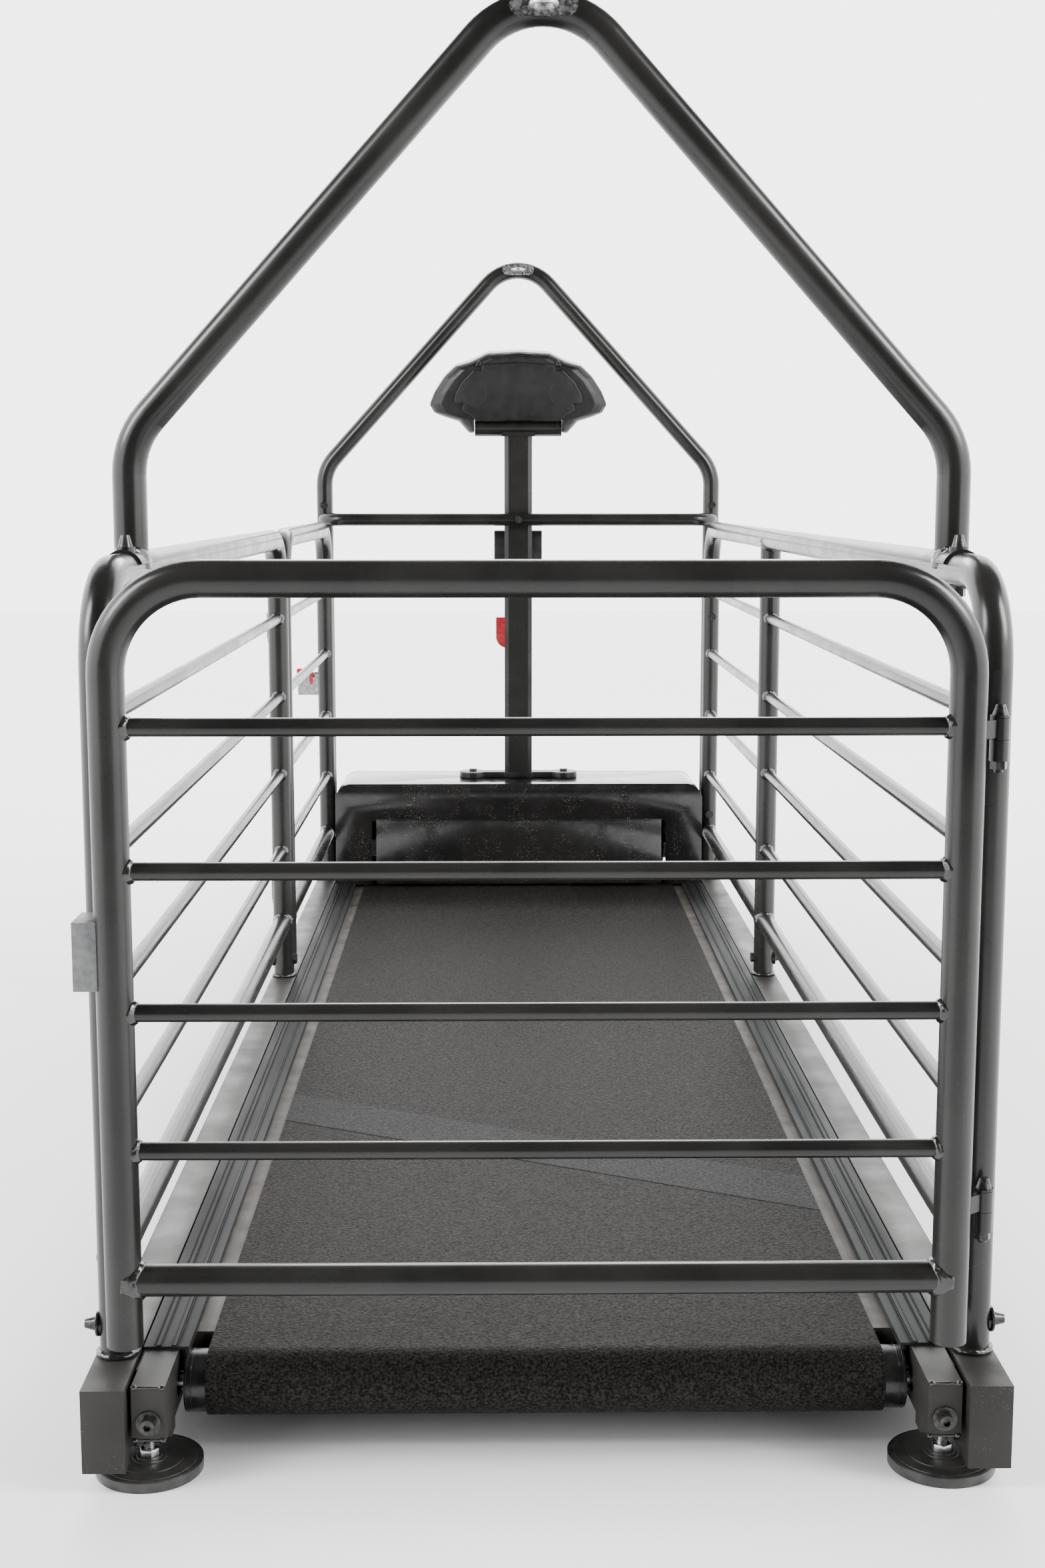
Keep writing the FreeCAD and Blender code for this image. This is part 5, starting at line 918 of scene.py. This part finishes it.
outline = mirrored(shell_side, ((0, 150.5),))
layers = [outlined("layer", outline, -0.01, 0.04)]
for share, near in ((0.97, -0.0165), (0.93, -0.0215), (0.88, -0.025)):
    layers.append(outlined("layer", shrunk(outline, share), near, near + 0.009))
clay = fused(joined(layers, "console_clay"), 0.0022, 10)
print("console clay faces:", len(clay.data.polygons))


def kept_half(piece, y, keep_near):
    """Cuts a piece at a y place and keeps the near or the far side."""
    pick(piece)
    bpy.ops.object.mode_set(mode="EDIT")
    bpy.ops.mesh.select_all(action="SELECT")
    bpy.ops.mesh.bisect(plane_co=(0.0, y, 0.0), plane_no=(0.0, 1.0, 0.0), use_fill=not keep_near,
                        clear_outer=keep_near, clear_inner=not keep_near)
    bpy.ops.object.mode_set(mode="OBJECT")
    return piece


# %% Hollow back with its plate and screws
BACK_FACES = 9000
BACK_SPLIT = 0.018
PLATE_FACE = -0.0315
SCREW_HEIGHT = 0.1285
back = kept_half(copied(clay), BACK_SPLIT, True)
thinned(back, BACK_FACES)
modified(back, "SOLIDIFY", thickness=0.003, offset=-1.0)
dressed(smooth(back, 50), grained_plastic)
plate_side = (
    (84.3, 18.1), (94.4, 30.2), (112, 39), (107, 52.4), (119.6, 51.1), (125.8, 55.4),
    (123.3, 70.5), (110.7, 93.1), (86.8, 117), (71.7, 115.8), (70.5, 127))
plate = outlined("plate", mirrored(plate_side, ((0.0, 131.4),)), PLATE_FACE, -0.02)
softened(plate, 0.0016, 4)
dressed(plate, grained_plastic)
bosses = []
for x in (-0.077, 0.077):
    boss = cylinder("boss", 0.009, 0.004, (x, -0.0275, SCREW_HEIGHT), "Y", 3)
    softened(boss, 0.0012, 3)
    screw = cylinder("screw", 0.0028, 0.0014, (x, -0.0298, SCREW_HEIGHT), "Y", 32)
    stepped(screw, (0.0, -1.0, 0.0), ((0.0011, 0.0), (0.0002, -0.0007)))
    softened(screw, 0.0002, 2)
    bosses += [dressed(boss, grained_plastic), dressed(screw, black_bolt)]
console_back = leaned(joined([back, plate, *bosses], "console_back"), "console_back")
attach(console_back, "console")
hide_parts("console_back_shell")

# %% Face panel, trimmed to the shell's outline
FACE_SPLIT = 0.0178
face = unleaned(sewn("console_front_panel", "console_face"))
cut_by(face, kept_half(copied(clay), FACE_SPLIT, False), "INTERSECT")
softened(face, 0.0007, 2, 40)
leaned(face, "console_face")
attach(face, "console")
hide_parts("console_front_panel")
removed(clay)

# %% Speaker grilles
GRILLE_RADIUS = 0.0235
GRILLE_ACROSS = 0.0856
GRILLE_HEIGHT = 0.0717
DOT_PITCH = 0.0042
dot = cylinder("dot", 0.00135, 0.0012, (0.0, 0.0, 0.0), "Y", 12)
dots = []
for side in (-1.0, 1.0):
    for row in range(-6, 7):
        for step in range(-6, 7):
            across = (step + 0.5 * (row % 2)) * DOT_PITCH
            rise = row * DOT_PITCH * math.sqrt(3.0) / 2
            if math.hypot(across, rise) < GRILLE_RADIUS - 0.0015:
                place = (side * GRILLE_ACROSS + across, PLATE_FACE, GRILLE_HEIGHT + rise)
                dots.append(copied(dot, place))
removed(dot)
rims = []
for side in (-1.0, 1.0):
    place = (side * GRILLE_ACROSS, PLATE_FACE, GRILLE_HEIGHT)
    rims.append(ring("rim", GRILLE_RADIUS, 0.0006, place, "Y", 72))
grilles = dressed(smooth(joined(dots + rims, "speaker_grilles")), grille_dark)
leaned(grilles, "speaker_grilles")
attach(grilles, "console")
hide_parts("console_speakers")
print("grille dots:", len(dots))

# %% [markdown]
# ## Signs on the face panel
# The face panel looks at the person beside the motor. The display shows plain digits made
# of seven small bars each, and the buttons carry raised signs: a triangle, a plus, a minus.

# %% Display digits
BARS = {"top": (0.0, 0.008, True), "middle": (0.0, 0.0, True), "bottom": (0.0, -0.008, True),
        "left_high": (-0.0045, 0.004, False), "right_high": (0.0045, 0.004, False),
        "left_low": (-0.0045, -0.004, False), "right_low": (0.0045, -0.004, False)}
ZERO = [bar for bar in BARS if bar != "middle"]
DISPLAY_FACE = 0.0232
DIGIT_HEIGHT = 0.096
BAR_HALF = 0.0003


def face_bar(x, z, along, half_length, half_width, y):
    """A small raised bar on the face panel, along x or along z."""
    across = half_length if along else half_width
    upward = half_width if along else half_length
    low = (x - across, y - BAR_HALF, z - upward)
    high = (x + across, y + BAR_HALF, z + upward)
    return block("bar", low, high)


digits = []
for middle in (-0.045, -0.022, 0.022, 0.045):
    for bar in ZERO:
        x, z, along = BARS[bar]
        high = DIGIT_HEIGHT + z
        digits.append(face_bar(middle + x, high, along, 0.0033, 0.0009, DISPLAY_FACE))
for z in (0.0925, 0.0995):
    digits.append(face_bar(0.0, z, True, 0.001, 0.001, DISPLAY_FACE))
display_digits = dressed(softened(joined(digits, "display_digits"), 0.0002, 1), lit_digit)
leaned(display_digits, "display_digits")
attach(display_digits, "console")

# %% Signs on the buttons
BUTTON_FACE = 0.0261
BUTTON_HEIGHT = 0.058
up_side = -0.062 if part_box("speed_up_button")[0][0] < 0.0 else 0.062
plus = [face_bar(up_side, BUTTON_HEIGHT, along, 0.0045, 0.0009, BUTTON_FACE)
        for along in (True, False)]
minus = [face_bar(-up_side, BUTTON_HEIGHT, True, 0.0045, 0.0009, BUTTON_FACE)]
triangle = [cylinder("triangle", 0.005, 0.0006, (0.0, BUTTON_FACE, BUTTON_HEIGHT), "Y", 3)]
signs = (
    ("plus_sign", plus, "speed_up"),
    ("minus_sign", minus, "speed_down"),
    ("start_sign", triangle, "start_stop"),
)
for name, shapes, body in signs:
    sign = dressed(softened(joined(shapes, name), 0.0002, 1), sign_white)
    leaned(sign, name)
    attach(sign, body)
print("signs on the face panel made")

# %% [markdown]
# ## Softer edges for pressed and moulded parts
# Folded steel and moulded plastic have no knife edges. A copy of each such CAD node is
# sewn together, its flat faces are joined up again, and its sharp edges are rounded.

# %% Copies with rounded edges


def refined(node, width, body, name, segments=2):
    """A copy of a CAD node with rounded edges that takes the node's place."""
    twin = sewn(node, name)
    softened(twin, width, segments)
    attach(twin, body)
    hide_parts(node)
    return twin


refined("left_side_channel", 0.0014, "base", "left_channel", 3)
refined("right_side_channel", 0.0014, "base", "right_channel", 3)
refined("motor_hood", 0.0015, "base", "hood", 3)
refined("belt_guard", 0.0004, "base", "guard")
refined("mast_base", 0.0014, "base", "mast_foot", 3)
refined("remote_cradle", 0.001, "base", "remote_holder")
refined("gate_catch", 0.0006, "gate", "catch")
refined("stop_paddle", 0.0016, "stop", "paddle", 3)
print("parts with rounded edges made")
